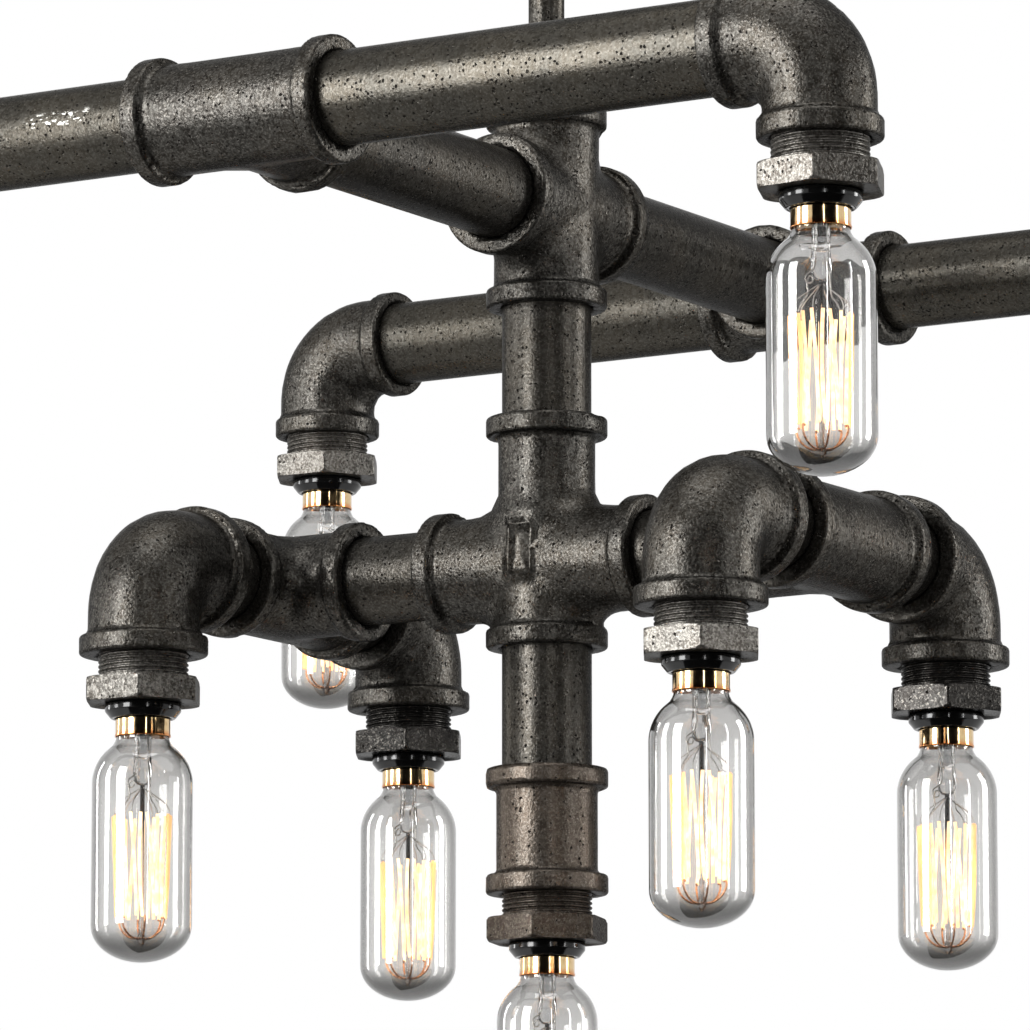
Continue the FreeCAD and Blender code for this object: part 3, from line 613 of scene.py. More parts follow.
def holder_outline():
    cavity = CAP_RADIUS + CAP_GAP
    seat = CAP_HEIGHT + CONTACT_HEIGHT + CONTACT_GAP - CAP_SHOW
    outer = eased((
        (cavity, 0.0),
        (RING_FOOT_RADIUS, 0.0),
        (RING_RADIUS, RING_SLOPE),
        (RING_RADIUS, RING_HEIGHT - 0.1),
        (HOLDER_RADIUS, RING_HEIGHT),
        (HOLDER_RADIUS, HOLDER_LENGTH),
        (0.0, HOLDER_LENGTH),
    ))
    thread = []
    for height in steps(seat - 1.5, 3.0, 0.5):
        thread.append((cavity + HOLDER_THREAD_CUT * wave(height / CAP_THREAD_PITCH), height))
    return outer + [(0.0, seat), (cavity - 0.2, seat)] + thread + [(cavity, 1.0)]


def base_outline():
    # The screw cap, its insulator and its contact, hollow for the glass's neck.
    inner = CAP_RADIUS - CAP_WALL
    sleeve = CAP_RADIUS - CAP_SLEEVE_INSET
    root = CAP_RADIUS - CAP_THREAD_INSET
    hollow = inner - 1.4
    shell = CAP_HEIGHT - CAP_SHOULDER
    top = CAP_HEIGHT + CONTACT_HEIGHT
    edge = [(inner, 0.15), (CAP_RADIUS - 0.1, 0.0), (CAP_RADIUS, 0.5), (sleeve, 1.5)]
    edge += [(sleeve, CAP_SHOW - 0.5)]
    thread = []
    for height in steps(CAP_SHOW, shell - 1.0, CAP_THREAD_PITCH / 8):
        thread.append((root + CAP_THREAD_RISE * wave((height - CAP_SHOW) / CAP_THREAD_PITCH), height))
    contact = [(root, shell), (CONTACT_RADIUS + 1.0, CAP_HEIGHT), (CONTACT_RADIUS, CAP_HEIGHT)]
    contact += [(CONTACT_RADIUS, top - 1.2), (CONTACT_RADIUS - 1.4, top - 0.2), (0.0, top)]
    inside = [(0.0, shell - CAP_WALL), (hollow, shell - CAP_WALL - 0.4), (hollow, 9.0)]
    return edge + thread + contact + inside


def glass_wall(inset):
    # The wall's profile from the neck down to the end, drawn in by the inset.
    neck = GLASS_NECK - inset
    radial = BULB_RADIUS - inset
    shoulder = SHOULDER_HEIGHT - inset
    dome = DOME_HEIGHT - inset
    profile = [(neck, NECK_DEPTH), (neck, 6.0), (neck, 0.5), (neck + 0.15, -1.2), (neck + 0.75, -2.6)]
    start = math.degrees(math.asin((neck + SHOULDER_START) / radial))
    for angle in steps(start, 90.0, 5.0):
        rounded = math.radians(angle)
        height = -SHOULDER_HEIGHT + shoulder * math.cos(rounded)
        profile.append((radial * math.sin(rounded), height))
    profile += [(radial, height) for height in STRAIGHT_HEIGHTS]
    for angle in steps(0.0, 85.0, 6.0):
        rounded = math.radians(angle)
        height = -GLASS_LENGTH + DOME_HEIGHT - dome * math.sin(rounded)
        profile.append((radial * math.cos(rounded), height))
    profile.append((0.0, -GLASS_LENGTH + inset))
    return profile


def glass_outline():
    return glass_wall(0.0) + glass_wall(GLASS_WALL)[::-1]


def stem_mesh():
    # The glass stem: a hollow flare sealed to the neck's end, a tube, and a flattened press.
    def press(radius, height, angle):
        share = min(1.0, max(0.0, (PRESS_START - height) / PRESS_LENGTH))
        flat = share * share * (3 - 2 * share)
        wide = 1.0 + PRESS_WIDER * flat
        thin = 1.0 - PRESS_THINNER * flat
        return radius / math.hypot(math.cos(angle) / wide, math.sin(angle) / thin)

    outline = list(STEM_FLARE + STEM_PRESS + STEM_INSIDE)
    return lathe_mesh("glass_stem", outline, STEM_GLASS, STEM_ANGLES, press)


# Wires.

def wire_mesh(name, runs, radius, material):
    # One mesh of several smooth round wires.
    curve = bpy.data.curves.new(name, "CURVE")
    curve.dimensions = "3D"
    curve.bevel_depth = radius * MM
    curve.bevel_resolution = 2
    curve.resolution_u = 6
    curve.use_fill_caps = True
    for run in runs:
        spline = curve.splines.new("NURBS")
        spline.points.add(len(run) - 1)
        for point, place in zip(spline.points, run):
            point.co = (place[0] * MM, place[1] * MM, place[2] * MM, 1.0)
        spline.use_endpoint_u = True
        spline.order_u = 3
    draft = bpy.data.objects.new(name, curve)
    mesh = bpy.data.meshes.new_from_object(draft)
    bpy.data.objects.remove(draft)
    bpy.data.curves.remove(curve)
    mesh.name = name
    return finished(mesh, material)


def filament_runs():
    # A zigzag of long strands between an upper and a lower ring of hooks.
    rng = np.random.default_rng(FILAMENT_SEED)
    runs = []
    for i in range(FILAMENT_COUNT):
        upper_angle = 2 * math.pi * (i + 0.15 * rng.standard_normal()) / FILAMENT_COUNT
        lower_angle = 2 * math.pi * (i + 0.5 + 0.3 * rng.standard_normal()) / FILAMENT_COUNT
        upper_radius = FILAMENT_TOP_RADIUS + 0.8 * rng.standard_normal()
        lower_radius = FILAMENT_END_RADIUS + 0.7 * rng.standard_normal()
        top = FILAMENT_TOP - 2.0 * rng.random()
        end = FILAMENT_END + 2.0 * rng.random()
        top_point = (upper_radius * math.cos(upper_angle), upper_radius * math.sin(upper_angle), top)
        end_point = (lower_radius * math.cos(lower_angle), lower_radius * math.sin(lower_angle), end)
        sway = rng.standard_normal(2) * 0.9
        middle = tuple((a + b) / 2 + s for a, b, s in zip(top_point, end_point, (*sway, 0.0)))
        runs.append([top_point, middle, end_point])
    return runs


def support_runs():
    # Hooks: the upper ones spread from the press, the lower ones form a crown round the rod's end.
    upper = []
    lower = []
    for i in range(HOOK_COUNT):
        angle = 2 * math.pi * i / HOOK_COUNT + 0.2
        for runs, profile, turn in ((upper, UPPER_HOOK, angle), (lower, LOWER_HOOK, angle + math.pi / 6)):
            runs.append([(radius * math.cos(turn), radius * math.sin(turn), z) for radius, z in profile])
    return upper, lower


def lead_run():
    # The lamp lead above an elbow's holder: up, round the bend and out at the side.
    foot = ELBOW_REACH + THREAD_SHOW + HEX_HEIGHT + RING_HEIGHT
    side_end = ELBOW_REACH - THREAD_DEPTH - SPLIT_GAP
    points = [(0.0, 0.0, -foot + HOLDER_LENGTH - 1.0), (0.0, 0.0, -LEAD_BEND), (0.0, 0.0, -LEAD_CORNER)]
    points += [(-LEAD_CORNER, 0.0, 0.0), (-LEAD_BEND, 0.0, 0.0), (-side_end, 0.0, 0.0)]
    return points


# Materials. Noise scales are per metre.

class Graph:
    """Adds nodes to a material and links them in the same call."""

    def __init__(self, name):
        self.material = bpy.data.materials.new(name)
        self.material.use_nodes = True
        self.tree = self.material.node_tree
        self.shader = self.tree.nodes["Principled BSDF"]

    def add(self, kind, inputs, **settings):
        node = self.tree.nodes.new("ShaderNode" + kind)
        for key, value in settings.items():
            setattr(node, key, value)
        self.feed(node, inputs)
        return node

    def feed(self, node, inputs):
        for key, value in inputs.items():
            if isinstance(value, bpy.types.NodeSocket):
                self.tree.links.new(value, node.inputs[key])
            else:
                node.inputs[key].default_value = value

    def local(self):
        # The piece's own coordinates.
        return self.add("TexCoord", {}).outputs["Object"]

    def place(self):
        # The piece's own coordinates, shifted by its number so that no two pieces are alike.
        number = self.add("ObjectInfo", {}).outputs["Random"]
        return self.moved(self.local(), self.scaled((3.1, 1.7, 2.3), number))

    def axes(self, vector):
        return self.add("SeparateXYZ", {0: vector}).outputs

    def scaled(self, vector, scale):
        return self.add("VectorMath", {0: vector, "Scale": scale}, operation="SCALE").outputs[0]

    def moved(self, vector, offset):
        return self.add("VectorMath", {0: vector, 1: offset}, operation="ADD").outputs[0]

    def stretched(self, vector, scales):
        return self.add("Mapping", {"Vector": vector, "Scale": scales}).outputs[0]

    def noise(self, place, scale, detail=2.0, roughness=0.5):
        inputs = {"Vector": place, "Scale": scale, "Detail": detail, "Roughness": roughness}
        return self.add("TexNoise", inputs).outputs["Fac"]

    def ramp(self, value, low, high, to_low=0.0, to_high=1.0):
        inputs = {"Value": value, "From Min": low, "From Max": high}
        inputs.update({"To Min": to_low, "To Max": to_high})
        return self.add("MapRange", inputs, interpolation_type="SMOOTHSTEP").outputs["Result"]

    def zone(self, coordinate, between, to_low=0.0, to_high=1.0):
        # A ramp along a coordinate, between two places in millimetres.
        return self.ramp(coordinate, between[0] * MM, between[1] * MM, to_low, to_high)

    def math(self, operation, a, b=0.0):
        return self.add("Math", {0: a, 1: b}, operation=operation).outputs[0]

    def plus(self, a, b):
        return self.math("ADD", a, b)

    def minus(self, a, b):
        return self.math("SUBTRACT", a, b)

    def times(self, a, b):
        return self.math("MULTIPLY", a, b)

    def mix(self, share, a, b):
        # Sockets 6, 7 and 2 are the node's two colours and its resulting one.
        return self.add("Mix", {"Factor": share, 6: a, 7: b}, data_type="RGBA").outputs[2]

    def pits(self, place, scale, share):
        # Round hollows in some cells of a scattered pattern, 1 in their middle and 0 outside.
        wander = self.add("TexNoise", {"Vector": place, "Scale": scale * 1.8, "Detail": 1.0})
        moved = self.moved(place, self.scaled(wander.outputs["Color"], 0.7 / scale))
        cells = self.add("TexVoronoi", {"Vector": moved, "Scale": scale})
        number = self.axes(cells.outputs["Color"])["X"]
        chosen = self.ramp(number, 1.0 - share, 1.01 - share)
        return self.times(self.ramp(cells.outputs["Distance"], 0.10, 0.34, 1.0, 0.0), chosen)

    def bump(self, height, depth):
        inputs = {"Height": height, "Distance": depth * MM, "Strength": 1.0}
        return self.add("Bump", inputs).outputs["Normal"]


def rgb(red, green, blue):
    return (red, green, blue, 1.0)


def scraped(graph, colour):
    # Paint scraped off the front bar's left pipe, in flecks along it.
    x, y, z = graph.axes(graph.local())
    drawn_out = graph.stretched(graph.local(), (0.35, 1.0, 1.0))
    flecks = graph.ramp(graph.noise(drawn_out, 620.0, 3.0, 0.65), 0.55, 0.62)
    start, end = SCRAPE_ALONG
    left = graph.zone(x, (start, start + SCRAPE_END_FADE))
    right = graph.zone(x, (end - SCRAPE_END_FADE, end), 1.0, 0.0)
    away = graph.math("ABSOLUTE", graph.minus(z, (UPPER_LEVEL + SCRAPE_RISE) * MM))
    band = graph.times(graph.times(left, right), graph.zone(away, SCRAPE_SIDE_FADE, 1.0, 0.0))
    front = graph.times(graph.zone(y, BEHIND_FRONT_BAR, 1.0, 0.0), flecks)
    return graph.mix(graph.times(band, front), colour, rgb(0.58, 0.57, 0.53))


def black_iron(name, dark, pale, stain, roughness, grain_depth, pit_share, mottle=1.0, wear=None):
    """Blackened iron: a dark metallic skin with cast grain, brown stains and scattered small pits.

    pit_share is the share of cells with a pit, mottle how strongly pale grain shows, and wear a
    function that changes the colour last."""
    graph = Graph(name)
    place = graph.place()
    broad = graph.noise(place, 30.0, 3.0)
    cloudy = graph.noise(place, 260.0, 3.0, 0.6)
    grain = graph.noise(place, 780.0, 2.0, 0.6)
    pits = graph.pits(place, 440.0, pit_share)
    specks = graph.ramp(graph.noise(place, 1000.0, 1.0), 0.56, 0.70)
    colour = graph.mix(graph.ramp(broad, 0.35, 0.65), dark, stain)
    colour = graph.mix(graph.ramp(cloudy, 0.38, 0.75, 0.0, 0.35 * mottle), colour, pale)
    colour = graph.mix(graph.ramp(grain, 0.42, 0.66, 0.0, 0.50 * mottle), colour, pale)
    colour = graph.mix(graph.times(specks, 0.22 * mottle), colour, rgb(0.30, 0.28, 0.25))
    colour = graph.mix(graph.times(pits, 0.92), colour, rgb(0.005, 0.0045, 0.004))
    if wear is not None:
        colour = wear(graph, colour)
    rough = graph.ramp(cloudy, 0.3, 0.7, roughness, roughness + 0.06)
    height = graph.plus(graph.times(grain, grain_depth), graph.times(cloudy, 0.08))
    height = graph.minus(height, graph.times(pits, 0.50))
    graph.feed(graph.shader, {
        "Base Color": colour,
        "Roughness": graph.plus(rough, graph.times(pits, 0.3)),
        "Normal": graph.bump(height, 1.0),
        "Metallic": 0.75,
        "Specular IOR Level": 0.2,
        "Specular Tint": rgb(0.25, 0.25, 0.25),
    })
    return graph.material


def plain_finish(name, colour, roughness, grain, depth, metallic=1.0, specular=0.5):
    """An even finish with fine grain, duller in patches. grain is its scale, depth its bump's."""
    graph = Graph(name)
    place = graph.place()
    mottled = graph.noise(place, grain, 3.0, 0.6)
    worn = graph.ramp(graph.noise(place, grain / 6, 2.0), 0.35, 0.7)
    darker = rgb(*(value * 0.72 for value in colour[:3]))
    graph.feed(graph.shader, {
        "Base Color": graph.mix(worn, darker, colour),
        "Metallic": metallic,
        "Specular IOR Level": specular,
        "Roughness": graph.ramp(mottled, 0.3, 0.7, roughness, roughness + 0.12),
        "Normal": graph.bump(mottled, depth),
    })
    return graph.material


def brass_material():
    # Polished sheet brass, redder towards its lower edge with a painted reflection of the filament's glow.
    # The cap's top is its dark insulator, with the grey contact above it.
    graph = Graph("cap_brass")
    height = graph.axes(graph.local())["Z"]
    # A painted reflection of the filament's glow, redder towards the cap's lower edge.
    edge = graph.zone(height, (0.0, PAINTED_GLOW_HEIGHT), 1.0, 0.0)
    dull = graph.noise(graph.place(), 350.0, 3.0, 0.6)
    colour = graph.mix(graph.ramp(dull, 0.4, 0.8, 0.0, 0.5), rgb(0.66, 0.49, 0.27), rgb(0.44, 0.28, 0.12))
    colour = graph.mix(edge, colour, rgb(0.62, 0.26, 0.09))
    insulator = graph.zone(height, (INSULATOR_START, INSULATOR_START + CAP_EDGE_FADE))
    contact = graph.zone(height, (CONTACT_START, CONTACT_START + CAP_EDGE_FADE))
    colour = graph.mix(insulator, colour, rgb(0.02, 0.018, 0.03))
    colour = graph.mix(contact, colour, rgb(0.5, 0.5, 0.5))
    graph.feed(graph.shader, {
        "Base Color": colour,
        "Metallic": graph.plus(graph.minus(1.0, insulator), contact),
        "Normal": graph.bump(dull, 0.03),
        "Roughness": graph.ramp(dull, 0.3, 0.8, 0.07, 0.15),
    })
    return graph.material


def glass_material(name, clear, edge, ripple_depth):
    # Blown glass: darker where it is seen edge on, with painted shade at its end and a little at its
    # shoulder, and drawn ripples along the tube.
    graph = Graph(name)
    drawn = graph.stretched(graph.place(), (1.0, 1.0, 0.08))
    ripple = graph.noise(drawn, 110.0, 1.0)
    facing = graph.add("LayerWeight", {"Blend": 0.35}).outputs["Facing"]
    colour = graph.mix(graph.ramp(facing, 0.22, 0.62), clear, edge)
    height = graph.axes(graph.local())["Z"]
    # Painted shade, darkening the glass towards its end and a little at its shoulder.
    end = graph.zone(height, PAINTED_SHADE_END, 0.95, 0.0)
    shoulder = graph.zone(height, PAINTED_SHADE_SHOULDER, 0.0, 0.18)
    graph.feed(graph.shader, {
        "Base Color": graph.mix(graph.math("MAXIMUM", end, shoulder), colour, edge),
        "Roughness": 0.0,
        "Normal": graph.bump(ripple, ripple_depth),
        "Transmission Weight": 1.0,
        "IOR": 1.6,
    })
    return graph.material


def glow_material():
    # Carbon filament: pale yellow, redder in patches and on the strands at its two sides.
    graph = Graph("filament_glow")
    place = graph.place()
    patches = graph.ramp(graph.noise(place, 240.0, 2.0), 0.36, 0.68, 0.08, 0.70)
    aside = graph.axes(graph.local())["X"]
    left = graph.zone(aside, COOLER_LEFT, 0.85, 0.0)
    right = graph.zone(aside, COOLER_RIGHT, 0.0, 0.9)
    colour = graph.mix(patches, rgb(1.0, 0.90, 0.60), rgb(0.90, 0.50, 0.18))
    colour = graph.mix(graph.math("MAXIMUM", left, right), colour, rgb(0.62, 0.26, 0.07))
    graph.feed(graph.shader, {
        "Base Color": rgb(0.9, 0.5, 0.2),
        "Roughness": 0.6,
        "Emission Color": colour,
        "Emission Strength": graph.ramp(graph.noise(place, 60.0, 1.0), 0.35, 0.65, 1.6, 2.6),
    })
    return graph.material


IRON = black_iron(
    "fitting_iron",
    dark=rgb(0.0165, 0.015, 0.013), pale=rgb(0.108, 0.104, 0.095), stain=rgb(0.0255, 0.022, 0.0175),
    roughness=0.27, grain_depth=0.26, pit_share=0.40, mottle=0.80,
)
PIPE = black_iron(
    "pipe_steel",
    dark=rgb(0.028, 0.0255, 0.021), pale=rgb(0.114, 0.110, 0.098), stain=rgb(0.037, 0.0325, 0.0255),
    roughness=0.25, grain_depth=0.15, pit_share=0.62, mottle=0.48, wear=scraped,
)
COLUMN_STEEL = black_iron(
    "column_steel",
    dark=rgb(0.021, 0.0192, 0.0164), pale=rgb(0.094, 0.090, 0.082), stain=rgb(0.030, 0.0265, 0.0215),
    roughness=0.27, grain_depth=0.18, pit_share=0.42, mottle=0.60,
)
FOOT_IRON = black_iron(
    "foot_iron",
    dark=rgb(0.038, 0.031, 0.025), pale=rgb(0.118, 0.102, 0.086), stain=rgb(0.052, 0.041, 0.032),
    roughness=0.28, grain_depth=0.24, pit_share=0.26,
)
# The bushings' iron has much paler grain than the fittings': a painted highlight that brightens the
# hexagons' lit faces.
BUSHING_IRON = black_iron(
    "bushing_iron",
    dark=rgb(0.038, 0.035, 0.031), pale=rgb(0.240, 0.230, 0.210), stain=rgb(0.052, 0.045, 0.038),
    roughness=0.28, grain_depth=0.28, pit_share=0.25,
)
# A darker copy of the bushings' iron: painted shade for the two lower back bushings, which hang in shadow.
BUSHING_PAINTED_SHADE = black_iron(
    "bushing_black",
    dark=rgb(0.010, 0.0095, 0.009), pale=rgb(0.050, 0.048, 0.045), stain=rgb(0.016, 0.0145, 0.013),
    roughness=0.22, grain_depth=0.14, pit_share=0.15,
)
ZINC = plain_finish("zinc_steel", rgb(0.44, 0.44, 0.43), roughness=0.34, grain=700.0, depth=0.04)
HOLDER = plain_finish(
    "holder_black", rgb(0.003, 0.003, 0.003), roughness=0.06, grain=420.0, depth=0.01,
    metallic=0.0, specular=0.35,
)
CANOPY_PAINT = plain_finish(
    "canopy_paint", rgb(0.034, 0.032, 0.030), roughness=0.42, grain=900.0, depth=0.06,
    metallic=0.0, specular=0.45,
)
CABLE = plain_finish(
    "cable_sheath", rgb(0.030, 0.030, 0.030), roughness=0.55, grain=600.0, depth=0.05, metallic=0.0,
)
COPPER = plain_finish("support_wire", rgb(0.80, 0.42, 0.22), roughness=0.22, grain=900.0, depth=0.01)
LEAD_WIRE = plain_finish("lead_wire", rgb(0.55, 0.53, 0.50), roughness=0.25, grain=900.0, depth=0.01)
BRASS = brass_material()
GLASS = glass_material("bulb_glass", rgb(0.79, 0.785, 0.775), rgb(0.16, 0.157, 0.15), 0.10)
STEM_GLASS = glass_material("stem_glass", rgb(0.90, 0.91, 0.92), rgb(0.70, 0.71, 0.73), 0.05)
GLOW = glow_material()


# The fixture's pieces.

def show(name, mesh, at, turn, body, nodes=(), weighted=False):
    """Puts a piece at a point in millimetres, turned about Z, on its body.

    nodes are the CAD nodes that it stands for. weighted keeps its flat faces flat in their shading."""
    piece = bpy.data.objects.new(name, mesh)
    bpy.context.scene.collection.objects.link(piece)
    piece.location = [value * MM for value in at]
    piece.rotation_euler = (0.0, 0.0, math.radians(turn))
    if weighted:
        modifier = piece.modifiers.new("weighted_normals", "WEIGHTED_NORMAL")
        modifier.keep_sharp = True
    bpy.context.view_layer.update()
    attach(piece, body)
    if nodes:
        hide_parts(*nodes)


def crosses():
    arm = (CROSS_REACH, BODY_RADIUS)
    field = casting({UP: arm, DOWN: arm, BACK: arm, FRONT: arm})
    low = (-BEAD_RADIUS, -CROSS_REACH, -CROSS_REACH)
    high = (BEAD_RADIUS, CROSS_REACH, CROSS_REACH)
    mesh = cast_mesh("upper_cross", field, low, high, IRON)
    show("upper_cross_cast", mesh, (0, 0, UPPER_LEVEL), 0, "fixture", ["upper_cross"])
    neck = (NECK_REACH, NECK_RADIUS)
    foot = (FOOT_REACH, BODY_RADIUS)
    side = (SIDE_REACH, BODY_RADIUS)
    field = casting({UP: neck, DOWN: foot, LEFT: side, RIGHT: side}, plaque)
    low = (-SIDE_REACH, -BEAD_RADIUS, -FOOT_REACH)
    high = (SIDE_REACH, BEAD_RADIUS, NECK_REACH)
    mesh = cast_mesh("lower_cross", field, low, high, IRON)
    show("lower_cross_cast", mesh, (0, 0, LOWER_LEVEL), 0, "fixture", ["lower_cross"])


def tees():
    run = (TEE_REACH, BODY_RADIUS)
    field = casting({LEFT: run, RIGHT: run, BACK: run})
    low = (-TEE_REACH, -BEAD_RADIUS, -BEAD_RADIUS)
    high = (TEE_REACH, TEE_REACH, BEAD_RADIUS)
    mesh = cast_mesh("tee", field, low, high, IRON)
    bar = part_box("crossbar_pipes")[1][1] / MM + TEE_REACH - THREAD_DEPTH
    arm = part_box("arm_nipples")[1][0] / MM - PIPE_RADIUS
    places = (
        ("tee_front", (0, -bar, UPPER_LEVEL), 0),
        ("tee_back", (0, bar, UPPER_LEVEL), 180),
        ("tee_left", (-arm, 0, LOWER_LEVEL), -90),
        ("tee_right", (arm, 0, LOWER_LEVEL), 90),
    )
    for name, at, turn in places:
        show(name, mesh, at, turn, "fixture", ["pipe_tees"])


def drop_coupling():
    half = COUPLING_LENGTH / 2
    end = (half, COUPLING_RADIUS)
    low = (-BEAD_RADIUS, -BEAD_RADIUS, -half)
    high = (BEAD_RADIUS, BEAD_RADIUS, half)
    mesh = cast_mesh("coupling", casting({UP: end, DOWN: end}), low, high, FOOT_IRON)
    at = (0, 0, DROP_FACE + half)
    show("drop_coupling_cast", mesh, at, 0, "fixture", ["drop_coupling"])


def elbow_meshes():
    meshes = {}
    for tier, radius in ELBOW_RADII.items():
        bead = ELBOW_BEADS[tier]
        low = (-ELBOW_REACH, -bead, -ELBOW_REACH)
        meshes[tier] = cast_mesh(tier + "_elbow", elbow(radius, bead), low, (bead,) * 3, IRON)
    return meshes


def elbow_turn(name, at):
    # The elbow's side port points along minus X before it is turned.
    if name.startswith("upper"):
        return 0 if at[0] > 0 else 180
    return -90 if at[1] < 0 else 90


def bushing_meshes():
    # The bushings that are turned or finished otherwise than the plain one. The two lower back ones get a
    # darker copy of the iron: painted shade for the shadow that they hang in.
    black = bushing_mesh("painted_shade_bushing", BUSHING_PAINTED_SHADE)
    turned = bushing_mesh("turned_bushing", BUSHING_IRON, HEX_TURNS["upper_front_right"])
    return {
        "plain": bushing_mesh("bushing", BUSHING_IRON),
        "upper_front_right": turned,
        "lower_back_left": black,
        "lower_back_right": black,
        "foot": bushing_mesh("foot_bushing", FOOT_IRON, HEX_TURNS["foot"]),
    }


def light_kit():
    upper, lower = support_runs()
    leads = [LOOPED_LEAD, STRAIGHT_LEAD]
    return {
        "bushings": bushing_meshes(),
        "holder": lathe_mesh("lamp_holder", holder_outline(), HOLDER, TURNED_ANGLES),
        "glass": lathe_mesh("bulb_glass", glass_outline(), GLASS, TURNED_ANGLES),
        "base": lathe_mesh("bulb_base", base_outline(), BRASS, TURNED_ANGLES),
        "stem": stem_mesh(),
        "rod": lathe_mesh("glass_rod", list(ROD), STEM_GLASS, ROD_ANGLES),
        "filament": wire_mesh("filament", filament_runs(), FILAMENT_RADIUS, GLOW),
        "upper_hooks": wire_mesh("upper_hooks", upper, UPPER_HOOK_RADIUS, LEAD_WIRE),
        "lower_hooks": wire_mesh("lower_hooks", lower, LOWER_HOOK_RADIUS, COPPER),
        "leads": wire_mesh("leads", leads, INNER_LEAD_RADIUS, LEAD_WIRE),
    }


def light(name, face, turn, body, kit):
    # Bushing, holder and bulb below a port's face.
    x, y, z = face
    hex_base = z - THREAD_SHOW - HEX_HEIGHT
    ring = hex_base - RING_HEIGHT
    bushing = kit["bushings"].get(name, kit["bushings"]["plain"])
    show("bushing_cast_" + name, bushing, (x, y, hex_base), 0, body, ["bushing_" + name],
         weighted=True)
    show("holder_" + name, kit["holder"], (x, y, ring), turn, body, ["lamp_holder_" + name],
         weighted=True)
    at = (x, y, ring - CAP_SHOW)
    bulb = "bulb_" + name
    show("cap_" + name, kit["base"], at, turn, bulb, ["bulb_base_" + name], weighted=True)
    show("glass_" + name, kit["glass"], at, turn, bulb, ["bulb_glass_" + name])
    for part in ("stem", "rod"):
        show(part + "_" + name, kit[part], at, BULB_TURN, bulb)
    for part in ("filament", "upper_hooks", "lower_hooks", "leads"):
        show(part + "_" + name, kit[part], at, BULB_TURN, bulb)


def lights():
    elbows = elbow_meshes()
    kit = light_kit()
    lead = wire_mesh("lamp_lead", [lead_run()], LEAD_RADIUS, CABLE)
    for name, at in ARMS.items():
        turn = elbow_turn(name, at)
        body = "arm_" + name
        mesh = elbows[name.split("_")[0]]
        show("elbow_cast_" + name, mesh, at, turn, body, ["elbow_" + name])
        show("lead_" + name, lead, at, turn, body, ["lamp_holder_" + name])
        light(name, (at[0], at[1], at[2] - ELBOW_REACH), turn, body, kit)
    light("foot", (0.0, 0.0, DROP_FACE), 0, "fixture", kit)


def dress(node, material, bevel):
    # A CAD piece that stays, with its finish and softened edges.
    obj = frame["nodes"][node]
    obj.data.materials.clear()
    obj.data.materials.append(material)
    if bevel:
        modifier = obj.modifiers.new("bevel", "BEVEL")
        modifier.width = bevel * MM
        modifier.segments = BEVEL_SEGMENTS
        modifier.limit_method = "ANGLE"
        modifier.angle_limit = math.radians(BEVEL_ANGLE)
        modifier.harden_normals = True


# The camera and the studio.

def camera():
    data = bpy.data.cameras.new("camera")
    data.lens = CAMERA_LENS
    data.sensor_width = CAMERA_SENSOR
    obj = bpy.data.objects.new("camera", data)
    place = Vector((0.0, 0.0, UPPER_LEVEL * MM)) + CAMERA_BACK * CAMERA_DISTANCE
    place = place - CAMERA_RIGHT * CAMERA_LEFTWARD - CAMERA_UP * CAMERA_DOWNWARD
    turn = Matrix((CAMERA_RIGHT, CAMERA_UP, CAMERA_BACK)).transposed().to_4x4()
    obj.matrix_world = Matrix.Translation(place) @ turn
    bpy.context.scene.collection.objects.link(obj)
    bpy.context.scene.camera = obj


def direction(azimuth, elevation=0.0):
    # Azimuth 0 is the fixture's front, and 90 its right.
    a = math.radians(azimuth)
    e = math.radians(elevation)
    return Vector((math.sin(a) * math.cos(e), -math.cos(a) * math.cos(e), math.sin(e)))


def softbox(name, azimuth, elevation, distance, width, height, radiance):
    # A rectangular lamp that faces the fixture's middle.
    away = direction(azimuth, elevation)
    data = bpy.data.lights.new(name, "AREA")
    data.shape = "RECTANGLE"
    data.size = width
    data.size_y = height
    data.energy = radiance * math.pi * width * height
    obj = bpy.data.objects.new(name, data)
    obj.location = STUDIO_MIDDLE + away * distance
    obj.rotation_euler = away.to_track_quat("Z", "Y").to_euler()
    obj.visible_camera = False
    bpy.context.scene.collection.objects.link(obj)


def stage_plane(name, size, at, material):
    bpy.ops.mesh.primitive_plane_add(size=size, location=at)
    plane = bpy.context.object
    plane.name = name
    plane.data.materials.append(material)
    return plane


def dark_cloth(name, at, facing, size):
    # A black cloth of the studio, seen only where metal and glass mirror it.
    cloth = Graph(name)
    inputs = {"Base Color": rgb(0.012, 0.012, 0.013), "Roughness": 1.0, "Specular IOR Level": 0.0}
    cloth.feed(cloth.shader, inputs)
    panel = stage_plane(name, 1.0, at, cloth.material)
    panel.scale = (*size, 1.0)
    panel.rotation_euler = facing.to_track_quat("Z", "Y").to_euler()
    panel.visible_camera = False
    panel.visible_diffuse = False
    panel.visible_transmission = False
    panel.visible_shadow = False


def either(tree, a, b):
    node = tree.nodes.new("ShaderNodeMath")
    node.operation = "MAXIMUM"
    tree.links.new(a, node.inputs[0])
    tree.links.new(b, node.inputs[1])
    return node.outputs[0]


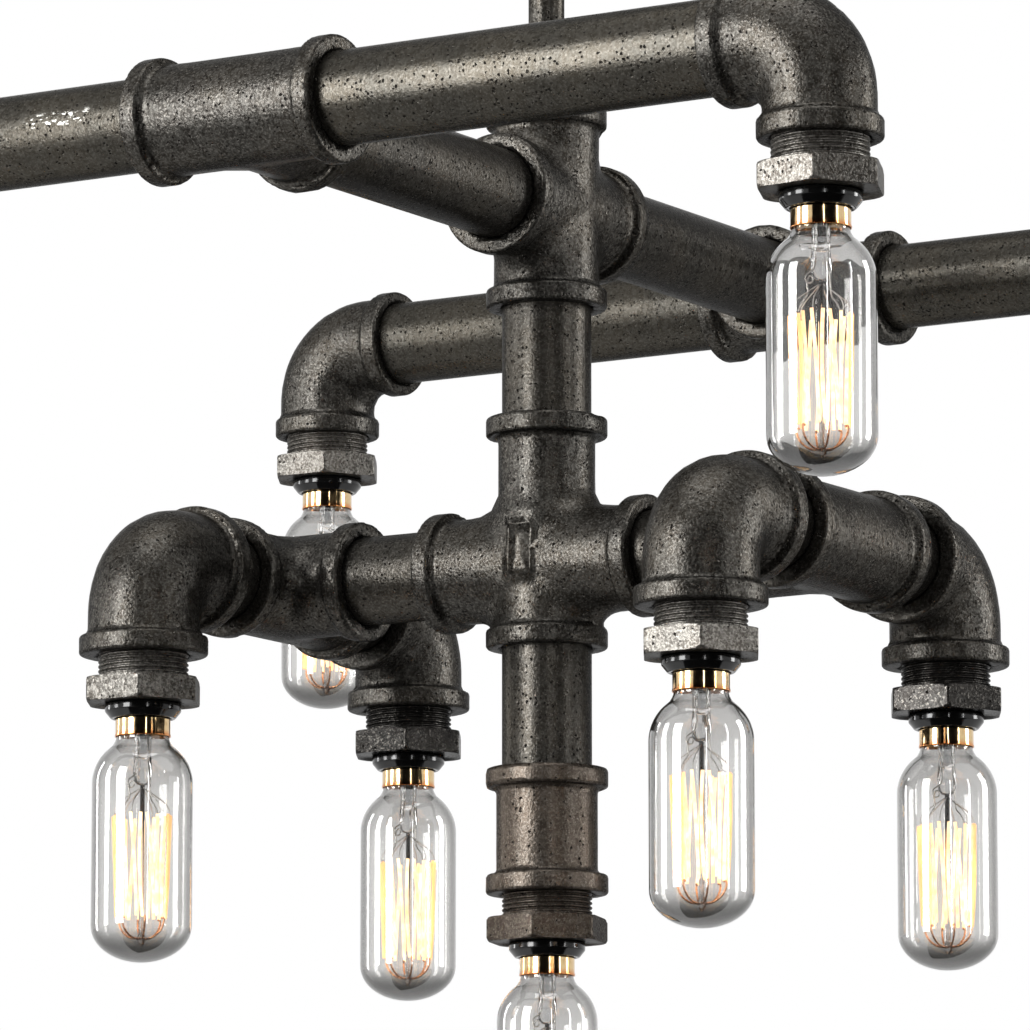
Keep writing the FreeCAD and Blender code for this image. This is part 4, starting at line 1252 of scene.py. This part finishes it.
def seen_strength(tree, unseen, seen):
    # One strength for light that reaches the object, another for what is seen, mirrored or seen through.
    rays = tree.nodes.new("ShaderNodeLightPath").outputs
    direct = either(tree, rays["Is Camera Ray"], rays["Is Glossy Ray"])
    strength = tree.nodes.new("ShaderNodeMapRange")
    strength.inputs["To Min"].default_value = unseen
    strength.inputs["To Max"].default_value = seen
    tree.links.new(either(tree, direct, rays["Is Transmission Ray"]), strength.inputs["Value"])
    return strength.outputs["Result"]


def white_world():
    world = bpy.data.worlds.new("studio")
    bpy.context.scene.world = world
    world.use_nodes = True
    background = world.node_tree.nodes["Background"]
    background.inputs["Color"].default_value = rgb(1.0, 1.0, 1.0)
    strength = seen_strength(world.node_tree, WORLD_UNSEEN, WHITE)
    world.node_tree.links.new(strength, background.inputs["Strength"])


def studio():
    toward = direction(CLOTH_AZIMUTH)
    upward = Vector((0.0, 0.0, 1.0))
    dark_cloth("dark_screen", toward * SCREEN_DISTANCE + upward * SCREEN_LEVEL, toward, SCREEN_SIZE)
    dark_cloth("dark_mat", toward * MAT_DISTANCE + upward * MAT_LEVEL, upward, MAT_SIZE)
    for lamp in SOFTBOXES:
        softbox(*lamp)
    pale = Graph("floor_pale")
    pale.feed(pale.shader, {
        "Base Color": rgb(0.86, 0.86, 0.86),
        "Roughness": 0.8,
        "Emission Color": rgb(1.0, 1.0, 1.0),
        "Emission Strength": seen_strength(pale.tree, 0.0, FLOOR_SEEN),
    })
    stage_plane("floor", FLOOR_SIZE, (0.0, 0.0, FLOOR_LEVEL), pale.material)
    white_world()


# CAD pieces that stay: their finish and how far their edges are softened.
DRESSED = (
    ("bar_pipes", PIPE, 0.0),
    ("stem_pipes", COLUMN_STEEL, 0.0),
    ("crossbar_pipes", COLUMN_STEEL, 0.0),
    ("arm_nipples", COLUMN_STEEL, 0.0),
    ("column_pipes", COLUMN_STEEL, 0.0),
    ("ceiling_bracket", ZINC, 0.5),
    ("stem_nut", ZINC, 0.7),
    ("canopy", CANOPY_PAINT, 0.0),
    ("canopy_collar", IRON, 0.5),
    ("stem_coupling", IRON, 0.8),
    ("stem_bushing", IRON, 0.8),
    ("wiring", CABLE, 0.0),
)
for node, material, bevel in DRESSED:
    dress(node, material, bevel)
crosses()
tees()
drop_coupling()
lights()
camera()
studio()
bpy.context.scene.view_settings.view_transform = "Standard"
